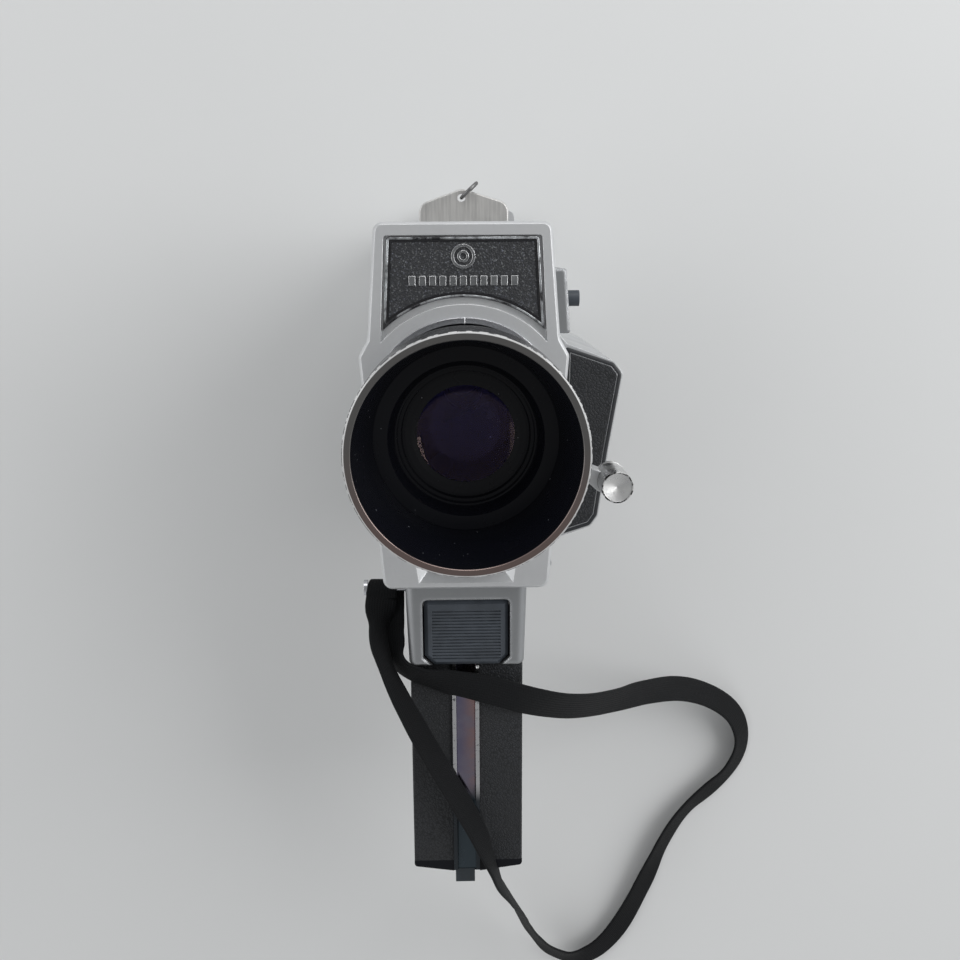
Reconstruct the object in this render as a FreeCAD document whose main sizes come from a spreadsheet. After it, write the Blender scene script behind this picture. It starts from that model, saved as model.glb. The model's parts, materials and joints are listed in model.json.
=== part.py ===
import FreeCAD, Part
import math
import os
import re

import Sketcher

# A hand-held cine camera for small film cartridges, lying on its back.
# The lens axis is the Z axis and looks up; +Y runs to the camera's top, -Y down the pistol grip,
# and +X to the operator's left. Z = 0 is the flat back of the rear cover. Millimetres.

V = FreeCAD.Vector

# name, value, what it measures
SIZES = [
    ("body_depth", 110.0, "back of the rear cover to the front of the front plate"),
    ("body_top", 52.6, "lens axis to the top edge of the front plate"),
    ("body_foot", 51.2, "lens axis to the bottom edge of the front plate"),
    ("top_half", 24.2, "half width of the plate at its top edge"),
    ("waist_half", 26.7, "half width above the shoulders"),
    ("waist_level", 21.0, "height of the shoulder's upper end"),
    ("shoulder_half", 29.3, "half width at the shoulders"),
    ("shoulder_level", 16.4, "height of the shoulders"),
    ("foot_half", 23.9, "half width of the plate at its bottom edge"),
    ("plate_thick", 4.0, "front plate thickness"),
    ("shell_step", 0.6, "shells sit this far inside the plate's edge"),
    ("wall", 1.8, "shell and cover wall"),
    ("cover_depth", 12.0, "rear cover depth"),
    ("collar_outer", 27.0, "lens collar outer radius"),
    ("collar_inner", 25.4, "lens collar inner radius"),
    ("barrel_outer", 21.4, "lens barrel radius"),
    ("barrel_inner", 19.4, "lens barrel bore radius"),
    ("running", 0.1, "radial clearance of rings that turn on the barrel"),
    ("rim_front", 171.7, "front of the hood"),
    ("rim_outer", 28.0, "hood radius at its rim"),
    ("rim_inner", 26.0, "hood opening radius at its rim"),
    ("hood_back", 149.5, "back of the hood"),
    ("hood_throat", 22.7, "hood inner radius at its back"),
    ("focus_back", 139.0, "back of the focus ring"),
    ("zoom_back", 121.0, "back of the zoom ring"),
    ("zoom_outer", 24.6, "zoom ring radius"),
    ("lever_reach", 38.4, "lens axis to the zoom knob's axis"),
    ("lever_level", 131.0, "back of the zoom lever"),
    ("arm_back", 139.5, "back of the zoom lever's outer arm and of the knob"),
    ("arm_front", 146.0, "front of the zoom lever's outer arm"),
    ("lever_turn", -17.4, "degrees from +X to the zoom lever"),
    ("knob_radius", 3.9, "zoom knob radius"),
    ("knob_front", 153.3, "front of the zoom knob"),
    ("chamber_right", -8.5, "film chamber wall on the mechanism side"),
    ("chamber_top", 21.5, "underside of the film chamber's shelf"),
    ("chamber_front", 90.0, "back of the film chamber's front wall"),
    ("gate_wide", 5.8, "picture aperture width"),
    ("gate_tall", 4.2, "picture aperture height"),
    ("shutter_x", -7.0, "shutter shaft, across"),
    ("shutter_y", -9.0, "shutter shaft, up"),
    ("motor_x", -16.3, "motor shaft, across"),
    ("motor_y", -12.7, "motor shaft, up"),
    ("gear_module", 0.5, "gear module"),
    ("shutter_teeth", 24.0, "teeth on the shutter gear"),
    ("pinion_teeth", 16.0, "teeth on the motor pinion"),
    ("spindle_y", -24.2, "take-up spindle, up"),
    ("spindle_z", 45.0, "take-up spindle, forward of the back"),
    ("finder_x", 4.0, "finder axis, across"),
    ("finder_y", 41.0, "finder axis, up"),
    ("door_back", 15.0, "back of the film door's bulge"),
    ("door_front", 103.0, "front of the film door's bulge"),
    ("door_wall", 1.6, "film door wall"),
    ("hinge_x", 25.1, "film door hinge, across"),
    ("hinge_y", -48.4, "film door hinge, up"),
    ("knuckle", 1.3, "film door knuckle radius"),
    ("casting_half", 18.4, "half width of the grip casting"),
    ("casting_front", 102.0, "front of the grip casting"),
    ("casting_back", 58.0, "back of the grip casting"),
    ("casting_foot", 78.6, "lens axis to the casting's foot"),
    ("trigger_half", 12.8, "half width of the trigger"),
    ("trigger_front", 101.0, "front of the trigger"),
    ("trigger_y", -60.5, "trigger pin, up"),
    ("trigger_z", 95.5, "trigger pin, forward of the back"),
    ("trigger_foot", 78.7, "lens axis to the trigger's foot"),
    ("grip_half", 17.4, "half width of the grip over its panels"),
    ("grip_front", 96.0, "front of the grip's panels"),
    ("grip_back", 48.0, "back of the grip"),
    ("grip_foot", 148.0, "lens axis to the end of the grip frame"),
    ("panel_thick", 0.8, "leatherette thickness"),
    ("strip_x", -0.4, "centre strip, across"),
    ("strip_half", 4.2, "half width of the centre strip"),
    ("cell_radius", 7.1, "battery cell radius"),
    ("cell_length", 50.0, "battery cell length"),
    ("socket_radius", 3.175, "tripod thread radius"),
    ("socket_z", 70.0, "tripod thread axis, forward of the back"),
    ("post_y", -57.5, "strap post, up"),
    ("post_z", 88.5, "strap post, forward of the back"),
    ("post_radius", 1.4, "strap post radius"),
    ("strap_diameter", 3.5, "round tube with the section of the flat strap"),
]

# The wrist strap: from the eye on the post, down across the grip's front, round the loop
# that lies on the table, and back under the casting to the eye.
STRAP_ROUTE = [
    (-26.2, -60.3, 90.4),
    (-28.0, -70.0, 94.5),
    (-24.5, -80.0, 100.5),
    (-19.5, -91.0, 101.5),
    (-14.5, -101.5, 101.0),
    (-8.5, -113.0, 101.0),
    (-2.0, -125.0, 101.0),
    (4.0, -136.5, 101.5),
    (8.5, -150.0, 100.5),
    (13.0, -167.0, 87.0),
    (18.0, -188.0, 62.5),
    (24.0, -209.0, 38.0),
    (31.5, -230.0, 18.0),
    (41.0, -244.0, 7.5),
    (53.0, -248.0, 4.5),
    (64.0, -238.5, 4.3),
    (75.0, -220.0, 4.3),
    (82.0, -201.0, 4.3),
    (90.5, -185.5, 4.3),
    (101.5, -175.5, 4.3),
    (110.5, -166.5, 4.3),
    (115.0, -154.0, 4.4),
    (111.0, -141.0, 5.5),
    (99.0, -130.5, 11.0),
    (83.0, -121.0, 24.0),
    (65.0, -114.5, 43.0),
    (50.0, -109.0, 63.0),
    (35.0, -101.0, 84.0),
    (20.5, -92.5, 98.0),
    (7.5, -86.5, 101.5),
    (-4.0, -83.5, 101.5),
    (-14.5, -82.0, 100.0),
    (-21.5, -79.5, 96.5),
    (-23.5, -73.0, 92.0),
    (-24.0, -67.5, 89.0),
    (-24.0, -60.3, 86.8),
]

doc = FreeCAD.newDocument("cine_camera")
sheet = doc.addObject("Spreadsheet::Sheet", "Sizes")
pieces = []


def fill_sheet():
    """Write every driving dimension into the sheet as a named cell."""
    for row, (name, size, meaning) in enumerate(SIZES, start=1):
        sheet.set("A%d" % row, name)
        sheet.set("B%d" % row, str(size))
        sheet.set("C%d" % row, meaning)
        sheet.setAlias("B%d" % row, name)
    doc.recompute()


NAMES = {name for name, size, meaning in SIZES}


def formula(text):
    """Point each dimension's name in a formula at its cell."""
    return re.sub(r"[a-z_]+", lambda word: "Sizes." + word[0] if word[0] in NAMES else word[0], str(text))


def size(text):
    """The value of a formula, in millimetres or degrees."""
    return float(sheet.evalExpression(formula(text)))


def bind(thing, prop, text):
    thing.setExpression(prop, formula(text))


def keep(thing, name):
    """Make this object one of the camera's pieces, under its plain name."""
    thing.Label = name
    pieces.append(thing)
    return thing


# Primitives and booleans. Spans are (low, high) pairs of formulas.

def box(name, across, up, forward):
    block = doc.addObject("Part::Box", name)
    for axis, side, (low, high) in zip("xyz", ("Length", "Width", "Height"), (across, up, forward)):
        bind(block, side, "(%s) - (%s)" % (high, low))
        bind(block, "Placement.Base." + axis, low)
    return block


TURNS = {"X": (V(0, 1, 0), 90), "Y": (V(1, 0, 0), -90), "Z": (V(0, 0, 1), 0)}


def round_bar(kind, name, axis, centre, span):
    """A cylinder or cone along an axis, with its centre in the other two directions."""
    bar = doc.addObject(kind, name)
    bar.Placement = FreeCAD.Placement(V(), FreeCAD.Rotation(*TURNS[axis]))
    bind(bar, "Height", "(%s) - (%s)" % (span[1], span[0]))
    others = iter(centre)
    for letter in "XYZ":
        bind(bar, "Placement.Base." + letter.lower(), span[0] if letter == axis else next(others))
    return bar


def cylinder(name, radius, axis, centre, span):
    bar = round_bar("Part::Cylinder", name, axis, centre, span)
    bind(bar, "Radius", radius)
    return bar


def fuse(name, shapes):
    joined = doc.addObject("Part::MultiFuse", name)
    joined.Shapes = shapes
    joined.Refine = True
    return joined


def cut(name, base, tools):
    """Take each tool away from the base."""
    result = base
    for number, tool in enumerate(tools):
        less = doc.addObject("Part::Cut", "%s_cut%d" % (name, number))
        less.Base = result
        less.Tool = tool
        result = less
    return result


def tube(name, outer, inner, axis, centre, span):
    solid = cylinder(name + "_outer", outer, axis, centre, span)
    return cut(name, solid, [cylinder(name + "_bore", inner, axis, centre, span)])


# Bodies made from sketches.

def new_body(name):
    return doc.addObject("PartDesign::Body", name)


def on_plane(body, role, level):
    """A sketch on one of the body's own planes, moved along the plane's normal."""
    sketch = body.newObject("Sketcher::SketchObject", "sketch")
    face = next(feature for feature in body.Origin.OriginFeatures if feature.Role == role)
    sketch.AttachmentSupport = (face, [""])
    sketch.MapMode = "FlatFace"
    bind(sketch, "AttachmentOffset.Base.z", level)
    return sketch


def tie(sketch, geometry, point, across, up):
    """Hold a point of the sketch at two formulas."""
    for kind, text in (("DistanceX", across), ("DistanceY", up)):
        number = sketch.addConstraint(Sketcher.Constraint(kind, -1, 1, geometry, point, size(text)))
        sketch.setExpression("Constraints[%d]" % number, formula(text))


def outline(body, role, corners, level="0"):
    """A closed outline of straight edges through the corners."""
    sketch = on_plane(body, role, level)
    places = [V(size(across), size(up), 0) for across, up in corners]
    for start, end in zip(places, places[1:] + places[:1]):
        sketch.addGeometry(Part.LineSegment(start, end), False)
    for edge in range(len(corners)):
        sketch.addConstraint(Sketcher.Constraint("Coincident", edge, 2, (edge + 1) % len(corners), 1))
    for edge, (across, up) in enumerate(corners):
        tie(sketch, edge, 1, across, up)
    return sketch


def slab(name, corners, low, high):
    """A flat block: a closed outline standing between two levels."""
    body = new_body(name)
    pad(body, outline(body, "XY_Plane", corners, low), "(%s) - (%s)" % (high, low))
    return body


def circle(body, role, centre, radius, level="0"):
    sketch = on_plane(body, role, level)
    place = V(size(centre[0]), size(centre[1]), 0)
    sketch.addGeometry(Part.Circle(place, V(0, 0, 1), size(radius)), False)
    tie(sketch, 0, 3, *centre)
    number = sketch.addConstraint(Sketcher.Constraint("Radius", 0, size(radius)))
    sketch.setExpression("Constraints[%d]" % number, formula(radius))
    return sketch


def pad(body, sketch, length, both_ways=False):
    feature = body.newObject("PartDesign::Pad", "pad")
    feature.Profile = sketch
    bind(feature, "Length", length)
    feature.Midplane = both_ways
    doc.recompute()
    return feature


def pocket(body, sketch, depth, taper=0.0):
    """Cut from the sketch forwards along its plane's normal, checking that material goes."""
    before = body.Shape.Volume
    feature = body.newObject("PartDesign::Pocket", "pocket")
    feature.Profile = sketch
    feature.Reversed = True
    bind(feature, "Length", depth)
    feature.TaperAngle = taper
    doc.recompute()
    if not body.Shape.Volume < before - 1e-6:
        raise RuntimeError("a pocket cut nothing in " + body.Label)
    return feature


def spin(name, profile):
    """A body turned about the Z axis from a profile of (radius, level) corners."""
    body = new_body(name)
    sketch = outline(body, "XZ_Plane", profile)
    feature = body.newObject("PartDesign::Revolution", "revolution")
    feature.Profile = sketch
    feature.ReferenceAxis = (sketch, ["V_Axis"])
    feature.Angle = 360
    doc.recompute()
    return body


def rounded(body, radius, chosen, kind="PartDesign::Fillet"):
    """Round or bevel the edges that the test chooses."""
    base = body.Tip
    names = ["Edge%d" % number for number, edge in enumerate(base.Shape.Edges, start=1) if chosen(edge)]
    feature = body.newObject(kind, "edges")
    feature.Base = (base, names)
    bind(feature, "Radius" if kind.endswith("Fillet") else "Size", radius)
    doc.recompute()
    return feature


def along(edge, axis):
    """True for a straight edge that runs along an axis, or within two degrees of it."""
    if not isinstance(edge.Curve, Part.Line):
        return False
    return abs(abs(edge.tangentAt(edge.FirstParameter).dot(axis)) - 1) < 1e-3


def upright(edge):
    return along(edge, V(0, 0, 1))


def mirrored(corners):
    """Corners of the +X half, followed by the same on the -X side in reverse."""
    return corners + [("-(%s)" % across, up) for across, up in reversed(corners)]


# The camera's outline, seen from the front.

def body_corners(inset):
    """Corners of the body's +X half from foot to top, moved in from the plate's edge."""
    return [
        ("foot_half - %s" % inset, "-body_foot + %s" % inset),
        ("shoulder_half - %s" % inset, "shoulder_level - %s / 2" % inset),
        ("waist_half - %s" % inset, "waist_level - %s / 2" % inset),
        ("top_half - %s" % inset, "body_top - %s" % inset),
    ]


def round_corners(body, foot, top):
    """Round the outline's upright edges: foot and top corners, and the two shoulder bends."""
    rounded(body, foot, lambda edge: upright(edge) and edge.CenterOfMass.y < -size("body_foot") + 3)
    rounded(body, top, lambda edge: upright(edge) and edge.CenterOfMass.y > size("body_top") - 3)


METER_SLOPE = 48.0


def front_plate():
    body = new_body("front_plate_body")
    back = "body_depth - plate_thick"
    pad(body, outline(body, "XY_Plane", mirrored(body_corners("0")), back), "plate_thick")
    round_corners(body, "3", "2.8")
    bend = size("waist_level") + 1
    rounded(body, "2.2", lambda edge: upright(edge) and size("shoulder_level") - 1 < edge.CenterOfMass.y < bend)
    front = size("body_depth")
    rounded(body, "0.7", lambda edge: abs(edge.BoundBox.ZMin - front) + abs(edge.BoundBox.ZMax - front) < 1e-3,
            "PartDesign::Chamfer")
    pocket(body, circle(body, "XY_Plane", ("0", "0"), "collar_outer", back), "plate_thick")
    floor = [("11.4", "-body_foot + 4.5"), ("12.1", "-42"), ("12.1", "-20")]
    sketch = outline(body, "XY_Plane", mirrored(floor), "body_depth - 2.4")
    pocket(body, sketch, "2.4", METER_SLOPE)
    plate = cut("front_plate", body, [nameplate_space()])
    return keep(plate, "front_plate")


def nameplate_blank(name, inset, arc, low, high):
    """The nameplate's outline: straight top and sides over an arc round the lens."""
    body = new_body(name + "_body")
    corners = [
        ("23.3 - %s" % inset, "14"),
        ("21.5 - %s" % inset, "49 - %s" % inset),
    ]
    pad(body, outline(body, "XY_Plane", mirrored(corners), low), "(%s) - (%s)" % (high, low))
    rounded(body, "0.9", lambda edge: upright(edge) and edge.CenterOfMass.y > 40)
    return cut(name, body, [cylinder(name + "_arc", arc, "Z", ("0", "0"), (low + " - 1", high + " + 1"))])


def nameplate_space():
    return nameplate_blank("nameplate_space", "0", "30.6", "body_depth - 1.8", "body_depth + 1")


def nameplate():
    plate = nameplate_blank("nameplate_blank", "0.3", "30.9", "body_depth - 1.8", "body_depth - 0.2")
    field = nameplate_blank("nameplate_field", "1.9", "32.6", "body_depth - 0.7", "body_depth + 1")
    return keep(cut("nameplate", plate, [field]), "nameplate")


def nameplate_emblem():
    """A plain aperture ring over a row of film perforations, standing on the nameplate's field."""
    low, high = "body_depth - 0.7", "body_depth - 0.3"
    marks = [
        tube("emblem_ring", "3.3", "2.5", "Z", ("0", "43.4"), (low, high)),
        tube("emblem_stop", "1.6", "0.9", "Z", ("0", "43.4"), (low, high)),
    ]
    holes = 11
    pitch = 2.8
    for hole in range(holes):
        left = (hole - (holes - 1) / 2) * pitch - 0.9
        marks.append(box("perforation%d" % hole, ("%g" % left, "%g" % (left + 1.8)), ("35.6", "38.2"), (low, high)))
    emblem = doc.addObject("Part::Compound", "emblem")
    emblem.Links = marks
    return keep(emblem, "nameplate_emblem")


def lens_collar():
    """The collar's left half stands higher than its right half."""
    ring = tube("collar_ring", "collar_outer", "collar_inner", "Z", ("0", "0"),
                ("body_depth - plate_thick", "body_depth + 1.8"))
    step = box("collar_step", ("0.3", "30"), ("-30", "30"), ("body_depth + 1.1", "body_depth + 3"))
    return keep(cut("lens_collar", ring, [step]), "lens_collar")


def meter_window():
    return keep(box("meter_window", ("-10.5", "10.5"), ("-45.5", "-31"),
                    ("body_depth - 2.4", "body_depth - 1.4")), "meter_window")


# Shells and covers.

def side_shell(name, side):
    """One half of the casing: its side, foot and top walls, as a channel along Z."""
    outer = [("%d * (%s)" % (side, across), up) for across, up in body_corners("shell_step")]
    inner = [("%d * (%s)" % (side, across), up) for across, up in body_corners("(shell_step + wall)")]
    foot = [("0", inner[0][1]), ("0", outer[0][1])]
    top = [("%d * 13.1" % side, outer[-1][1]), ("%d * 13.1" % side, inner[-1][1])]
    body = new_body(name + "_body")
    sketch = outline(body, "XY_Plane", foot + outer + top + inner[::-1], "cover_depth")
    pad(body, sketch, "body_depth - plate_thick - cover_depth")
    rounded(body, "2.6", lambda edge: upright(edge) and abs(edge.CenterOfMass.y - size(outer[0][1])) < 0.1
            and abs(edge.CenterOfMass.x) > 5)
    return body


def right_shell():
    return keep(side_shell("right_shell", -1), "right_shell")


def left_shell():
    """The film door's side: its wall is open to the film chamber and carries a fixed knuckle."""
    shell = side_shell("left_shell", 1)
    opening = box("door_opening", ("15", "34"), ("-47.6", "chamber_top - 0.4"),
                  ("door_back + 0.6", "chamber_front + 2"))
    open_shell = cut("open_shell", shell, [opening])
    knuckle = cylinder("fixed_knuckle", "knuckle", "Z", ("hinge_x", "hinge_y"), ("44.4", "73.6"))
    web = box("knuckle_web", ("22.4", "hinge_x"), ("hinge_y - 1.3", "hinge_y + 1.2"), ("44.4", "73.6"))
    bore = cylinder("fixed_knuckle_bore", "0.65", "Z", ("hinge_x", "hinge_y"), ("40", "80"))
    shell_with_knuckle = cut("left_shell", fuse("left_shell_fuse", [open_shell, knuckle, web]), [bore])
    return keep(shell_with_knuckle, "left_shell")


def top_cover():
    deck = box("top_deck", ("-13", "13"), ("body_top - 3", "body_top - 0.7"), ("cover_depth", "body_depth - plate_thick"))
    slot = box("key_slot", ("-8.3", "-3.1"), ("45", "55"), ("94.2", "96.4"))
    return keep(cut("top_cover", deck, [slot]), "top_cover")


def rear_cover():
    """A shallow tray with a hump over the eyecup, closed at Z = 0."""
    body = new_body("rear_tray")
    hump_left, hump_right, hump_top = "-11.5", "19.5", "58.8"
    step = body_corners("shell_step")
    corners = step + [(hump_right, step[-1][1]), (hump_right, hump_top), (hump_left, hump_top),
                      (hump_left, step[-1][1])]
    corners += [("-(%s)" % across, up) for across, up in reversed(step)]
    pad(body, outline(body, "XY_Plane", corners), "cover_depth")
    rounded(body, "2.6", lambda edge: upright(edge) and (edge.CenterOfMass.y < -45 or edge.CenterOfMass.y > 57))
    inside = body_corners("(shell_step + wall)")
    pocket(body, outline(body, "XY_Plane", mirrored(inside), "wall"), "cover_depth - wall")
    screw_posts = [cylinder("screw_post%d" % n, "3.2", "Z", place, ("0.9", "cover_depth"))
                   for n, place in enumerate(SCREWS)]
    eye_wall = cylinder("eye_wall", "14.8", "Z", ("finder_x", "finder_y + 1.4"), ("0.9", "10"))
    eye_hole = cylinder("eye_hole", "13.2", "Z", ("finder_x", "finder_y + 1.4"), ("-1", "11"))
    holes = [eye_hole]
    for number, place in enumerate(SCREWS):
        holes.append(cylinder("screw_hole%d" % number, "1.2", "Z", place, ("-1", "13")))
        holes.append(cylinder("screw_sink%d" % number, "2.3", "Z", place, ("-1", "1.8")))
    return keep(cut("rear_cover", fuse("rear_cover_fuse", [body, eye_wall] + screw_posts), holes), "rear_cover")


SCREWS = [("-19", "44.5"), ("-19", "-44"), ("19", "-44"), ("23", "8")]


def cover_screws():
    screws = []
    for number, place in enumerate(SCREWS):
        shank = cylinder("screw_shank%d" % number, "1.2", "Z", place, ("1.8", "11"))
        head = cylinder("screw_head%d" % number, "2.2", "Z", place, ("0.5", "1.8"))
        across = "(%s)" % place[0]
        slot = box("screw_slot%d" % number, (across + " - 3", across + " + 3"),
                   ("(%s) - 0.3" % place[1], "(%s) + 0.3" % place[1]), ("0", "1.1"))
        screws.append(cut("screw%d" % number, fuse("screw_fuse%d" % number, [shank, head]), [slot]))
    group = doc.addObject("Part::Compound", "screws")
    group.Links = screws
    return keep(group, "cover_screws")


def side_panel():
    """Leatherette on the right shell, along its tapered side."""
    body = new_body("side_panel_body")
    outer, inner = "(shell_step - 0.7)", "shell_step"
    slope = "(shoulder_half - foot_half) / (shoulder_level + body_foot - 1.5 * shell_step)"
    corners = []
    for inset, levels in ((inner, (12.5, -45)), (outer, (-45, 12.5))):
        for level in levels:
            drop = "(shoulder_level - shell_step / 2 - (%g))" % level
            across = "-(shoulder_half - %s - %s * %s)" % (inset, drop, slope)
            corners.append((across, str(level)))
    pad(body, outline(body, "XY_Plane", corners, "18"), "82")
    return keep(body, "right_side_panel")


# Chassis, film chamber and mechanism.

def chassis():
    """A die-cast wall beside the film chamber, with the chamber's front wall and shelf."""
    wall = box("chassis_wall", ("chamber_right - 2", "chamber_right"), ("-48.4", "49.2"), ("12.2", "103.4"))
    front = box("chassis_front", ("chamber_right", "21.2"), ("-48.4", "24"), ("chamber_front", "chamber_front + 2.5"))
    shelf = box("chassis_shelf", ("chamber_right", "22"), ("chamber_top", "chamber_top + 2"),
                ("12.2", "chamber_front"))
    tools = [
        box("chassis_aperture", ("-4", "4"), ("-3.5", "3.5"), ("80", "100")),
        box("chassis_claw_slot", ("4.6", "7.4"), ("-5", "5"), ("80", "100")),
        cylinder("chassis_shaft_hole", "1.55", "Z", ("shutter_x", "shutter_y"), ("80", "100")),
        cylinder("chassis_spindle_hole", "1.55", "X", ("spindle_y", "spindle_z"), ("-20", "0")),
        box("chassis_shutter_gap", ("-12", "-8"), ("-25.5", "7.5"), ("chamber_front + 2.7", "100")),
        box("chassis_lens_gap", ("-12", "-8"), ("-27", "27"), ("98", "104")),
    ]
    return keep(cut("chassis", fuse("chassis_fuse", [wall, front, shelf]), tools), "chassis")


def gate_plate():
    low, high = "chamber_front - 1.2", "chamber_front"
    plate = box("gate_blank", ("-7", "10"), ("-14", "14"), (low, high))
    frame = box("gate_frame", ("-gate_wide / 2", "gate_wide / 2"), ("-gate_tall / 2", "gate_tall / 2"),
                (low + " - 1", high + " + 1"))
    slot = box("gate_slot", ("4.8", "7.2"), ("-4", "4"), (low + " - 1", high + " + 1"))
    return keep(cut("gate_plate", plate, [frame, slot]), "gate_plate")


def film_claw():
    arm = box("claw_arm", ("3.6", "8.4"), ("-2.4", "12"), ("chamber_front + 2.6", "chamber_front + 3.3"))
    tooth = box("claw_tooth", ("5.6", "6.4"), ("-0.4", "0.4"), ("chamber_front - 0.9", "chamber_front + 2.6"))
    return keep(fuse("film_claw", [arm, tooth]), "film_claw")


def gear(name, teeth, low, high, bore, centre, phase):
    """A spur gear with straight-flanked teeth, a little under size so that a pair runs free."""
    module = size("gear_module")
    count = int(size(teeth))
    tip = count * module / 2 + 0.8 * module
    root = count * module / 2 - 1.15 * module
    pitch = count * module / 2
    corners = []
    for tooth in range(count):
        middle = 2 * math.pi * tooth / count + math.radians(phase)
        for radius, half in ((root, 0.3), (pitch, 0.215), (tip, 0.1)):
            corners.append((radius, middle - half * 2 * math.pi / count))
        for radius, half in ((tip, 0.1), (pitch, 0.215), (root, 0.3)):
            corners.append((radius, middle + half * 2 * math.pi / count))
    x, y = size(centre[0]), size(centre[1])
    places = [V(x + radius * math.cos(turn), y + radius * math.sin(turn), size(low)) for radius, turn in corners]
    face = Part.Face(Part.makePolygon(places + places[:1]))
    solid = face.extrude(V(0, 0, size(high) - size(low)))
    hole = Part.makeCylinder(size(bore), size(high) - size(low), V(x, y, size(low)))
    thing = doc.addObject("Part::Feature", name + "_wheel")
    thing.Shape = solid.cut(hole)
    thing.Placement = FreeCAD.Placement()
    return thing


SHAFT = ("shutter_x", "shutter_y")
MOTOR = ("motor_x", "motor_y")


def mesh_phase():
    """Degrees that put a shutter gap opposite a pinion tooth on the line of centres."""
    line = math.degrees(math.atan2(size("motor_y - shutter_y"), size("motor_x - shutter_x")))
    return line + 180 / size("shutter_teeth"), line + 180


def shutter_disc():
    """A thin disc with a window over a third of its turn, on a hub."""
    low, high = "chamber_front + 6.2", "chamber_front + 6.8"
    disc = cylinder("shutter_round", "15", "Z", SHAFT, (low, high))
    window = cylinder("shutter_window", "20", "Z", SHAFT, (low + " - 1", high + " + 1"))
    window.Angle = 150
    window.Placement.Rotation = FreeCAD.Rotation(V(0, 0, 1), -40)
    hub = cylinder("shutter_hub", "3", "Z", SHAFT, (low, high))
    bore = cylinder("shutter_bore", "1.5", "Z", SHAFT, (low + " - 1", high + " + 1"))
    return keep(cut("shutter_disc", fuse("shutter_fuse", [cut("shutter_open", disc, [window]), hub]), [bore]),
                "shutter_disc")


def shutter_gear():
    """The gear in one piece with the shutter's shaft."""
    wheel = gear("shutter_gear", "shutter_teeth", "chamber_front + 3.4", "chamber_front + 5", "1", SHAFT,
                 mesh_phase()[0])
    shaft = cylinder("shaft_bar", "1.5", "Z", SHAFT, ("chamber_front + 0.1", "chamber_front + 7.6"))
    return keep(fuse("shutter_gear", [wheel, shaft]), "shutter_gear")


def motor_shaft():
    """The motor's shaft with its pinion in front and its worm behind; the worm's thread is left plain."""
    wheel = gear("motor_pinion", "pinion_teeth", "chamber_front + 3.3", "chamber_front + 5.1", "0.6", MOTOR,
                 mesh_phase()[1])
    rod = cylinder("motor_rod", "1", "Z", MOTOR, ("34", "chamber_front + 5.5"))
    worm = cylinder("motor_worm", "2.4", "Z", MOTOR, ("37", "52"))
    return keep(fuse("motor_shaft", [wheel, rod, worm]), "motor_shaft")


def drive_motor():
    case = cylinder("motor_case", "5.5", "Z", MOTOR, ("54", "86"))
    nose = cylinder("motor_nose", "3", "Z", MOTOR, ("86", "88"))
    bore = cylinder("motor_bore", "1.04", "Z", MOTOR, ("50", "90"))
    return keep(cut("drive_motor", fuse("motor_fuse", [case, nose]), [bore]), "drive_motor")


def worm_wheel():
    """The worm wheel, with its teeth cut as plain notches."""
    wheel = cylinder("takeup_blank", "8.9", "X", ("spindle_y", "spindle_z"), ("-18", "-14.6"))
    notches = []
    count = 36
    for number in range(count):
        notch = doc.addObject("Part::Box", "takeup_notch%d" % number)
        notch.Length = 5
        notch.Width = 0.7
        notch.Height = 2
        turn = FreeCAD.Rotation(V(1, 0, 0), 360 * number / count)
        hub = V(size("-19"), size("spindle_y"), size("spindle_z"))
        notch.Placement = FreeCAD.Placement(hub + turn.multVec(V(0, -0.35, 8)), turn)
        notches.append(notch)
    teeth = doc.addObject("Part::Compound", "takeup_notches")
    teeth.Links = notches
    return cut("takeup_wheel", wheel, [teeth])


def takeup_spindle():
    """The three-bladed driver that turns the cartridge's core, with its wheel and shaft."""
    place = ("spindle_y", "spindle_z")
    shaft = cylinder("spindle_shaft", "1.5", "X", place, ("-18.4", "chamber_right + 0.4"))
    head = cylinder("spindle_head", "3", "X", place, ("chamber_right + 0.4", "-2.6"))
    blades = []
    for number in range(3):
        blade = doc.addObject("Part::Box", "spindle_blade%d" % number)
        blade.Length = 4
        blade.Width = 1.2
        blade.Height = 4.8
        turn = FreeCAD.Rotation(V(1, 0, 0), 120 * number)
        hub = V(-7, size("spindle_y"), size("spindle_z"))
        blade.Placement = FreeCAD.Placement(hub + turn.multVec(V(0, -0.6, 0)), turn)
        blades.append(blade)
    return keep(fuse("takeup_spindle", [shaft, head, worm_wheel()] + blades), "takeup_spindle")


# Lens.

def lens_barrel():
    """The fixed tube: rear wall, flange behind the collar, and the bore for the zoom cell."""
    profile = [
        ("6.05", "98.5"), ("barrel_outer", "98.5"), ("barrel_outer", "103.4"), ("26", "103.4"),
        ("26", "body_depth - plate_thick"), ("barrel_outer", "body_depth - plate_thick"),
        ("barrel_outer", "146.8"), ("barrel_inner", "146.8"), ("barrel_inner", "100"), ("6.05", "100"),
    ]
    barrel = spin("barrel_body", profile)
    port = cylinder("finder_port", "2.6", "Y", ("0", "103.4"), ("0", "24"))
    flats = [box("barrel_flat_left", ("23.9", "30"), ("-30", "30"), ("103", "107")),
             box("barrel_flat_right", ("-30", "-23.9"), ("-30", "30"), ("103", "107"))]
    barrel = fuse("barrel_fuse", [barrel, splitter_seat()])
    return keep(cut("lens_barrel", barrel, [port] + flats), "lens_barrel")


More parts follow.
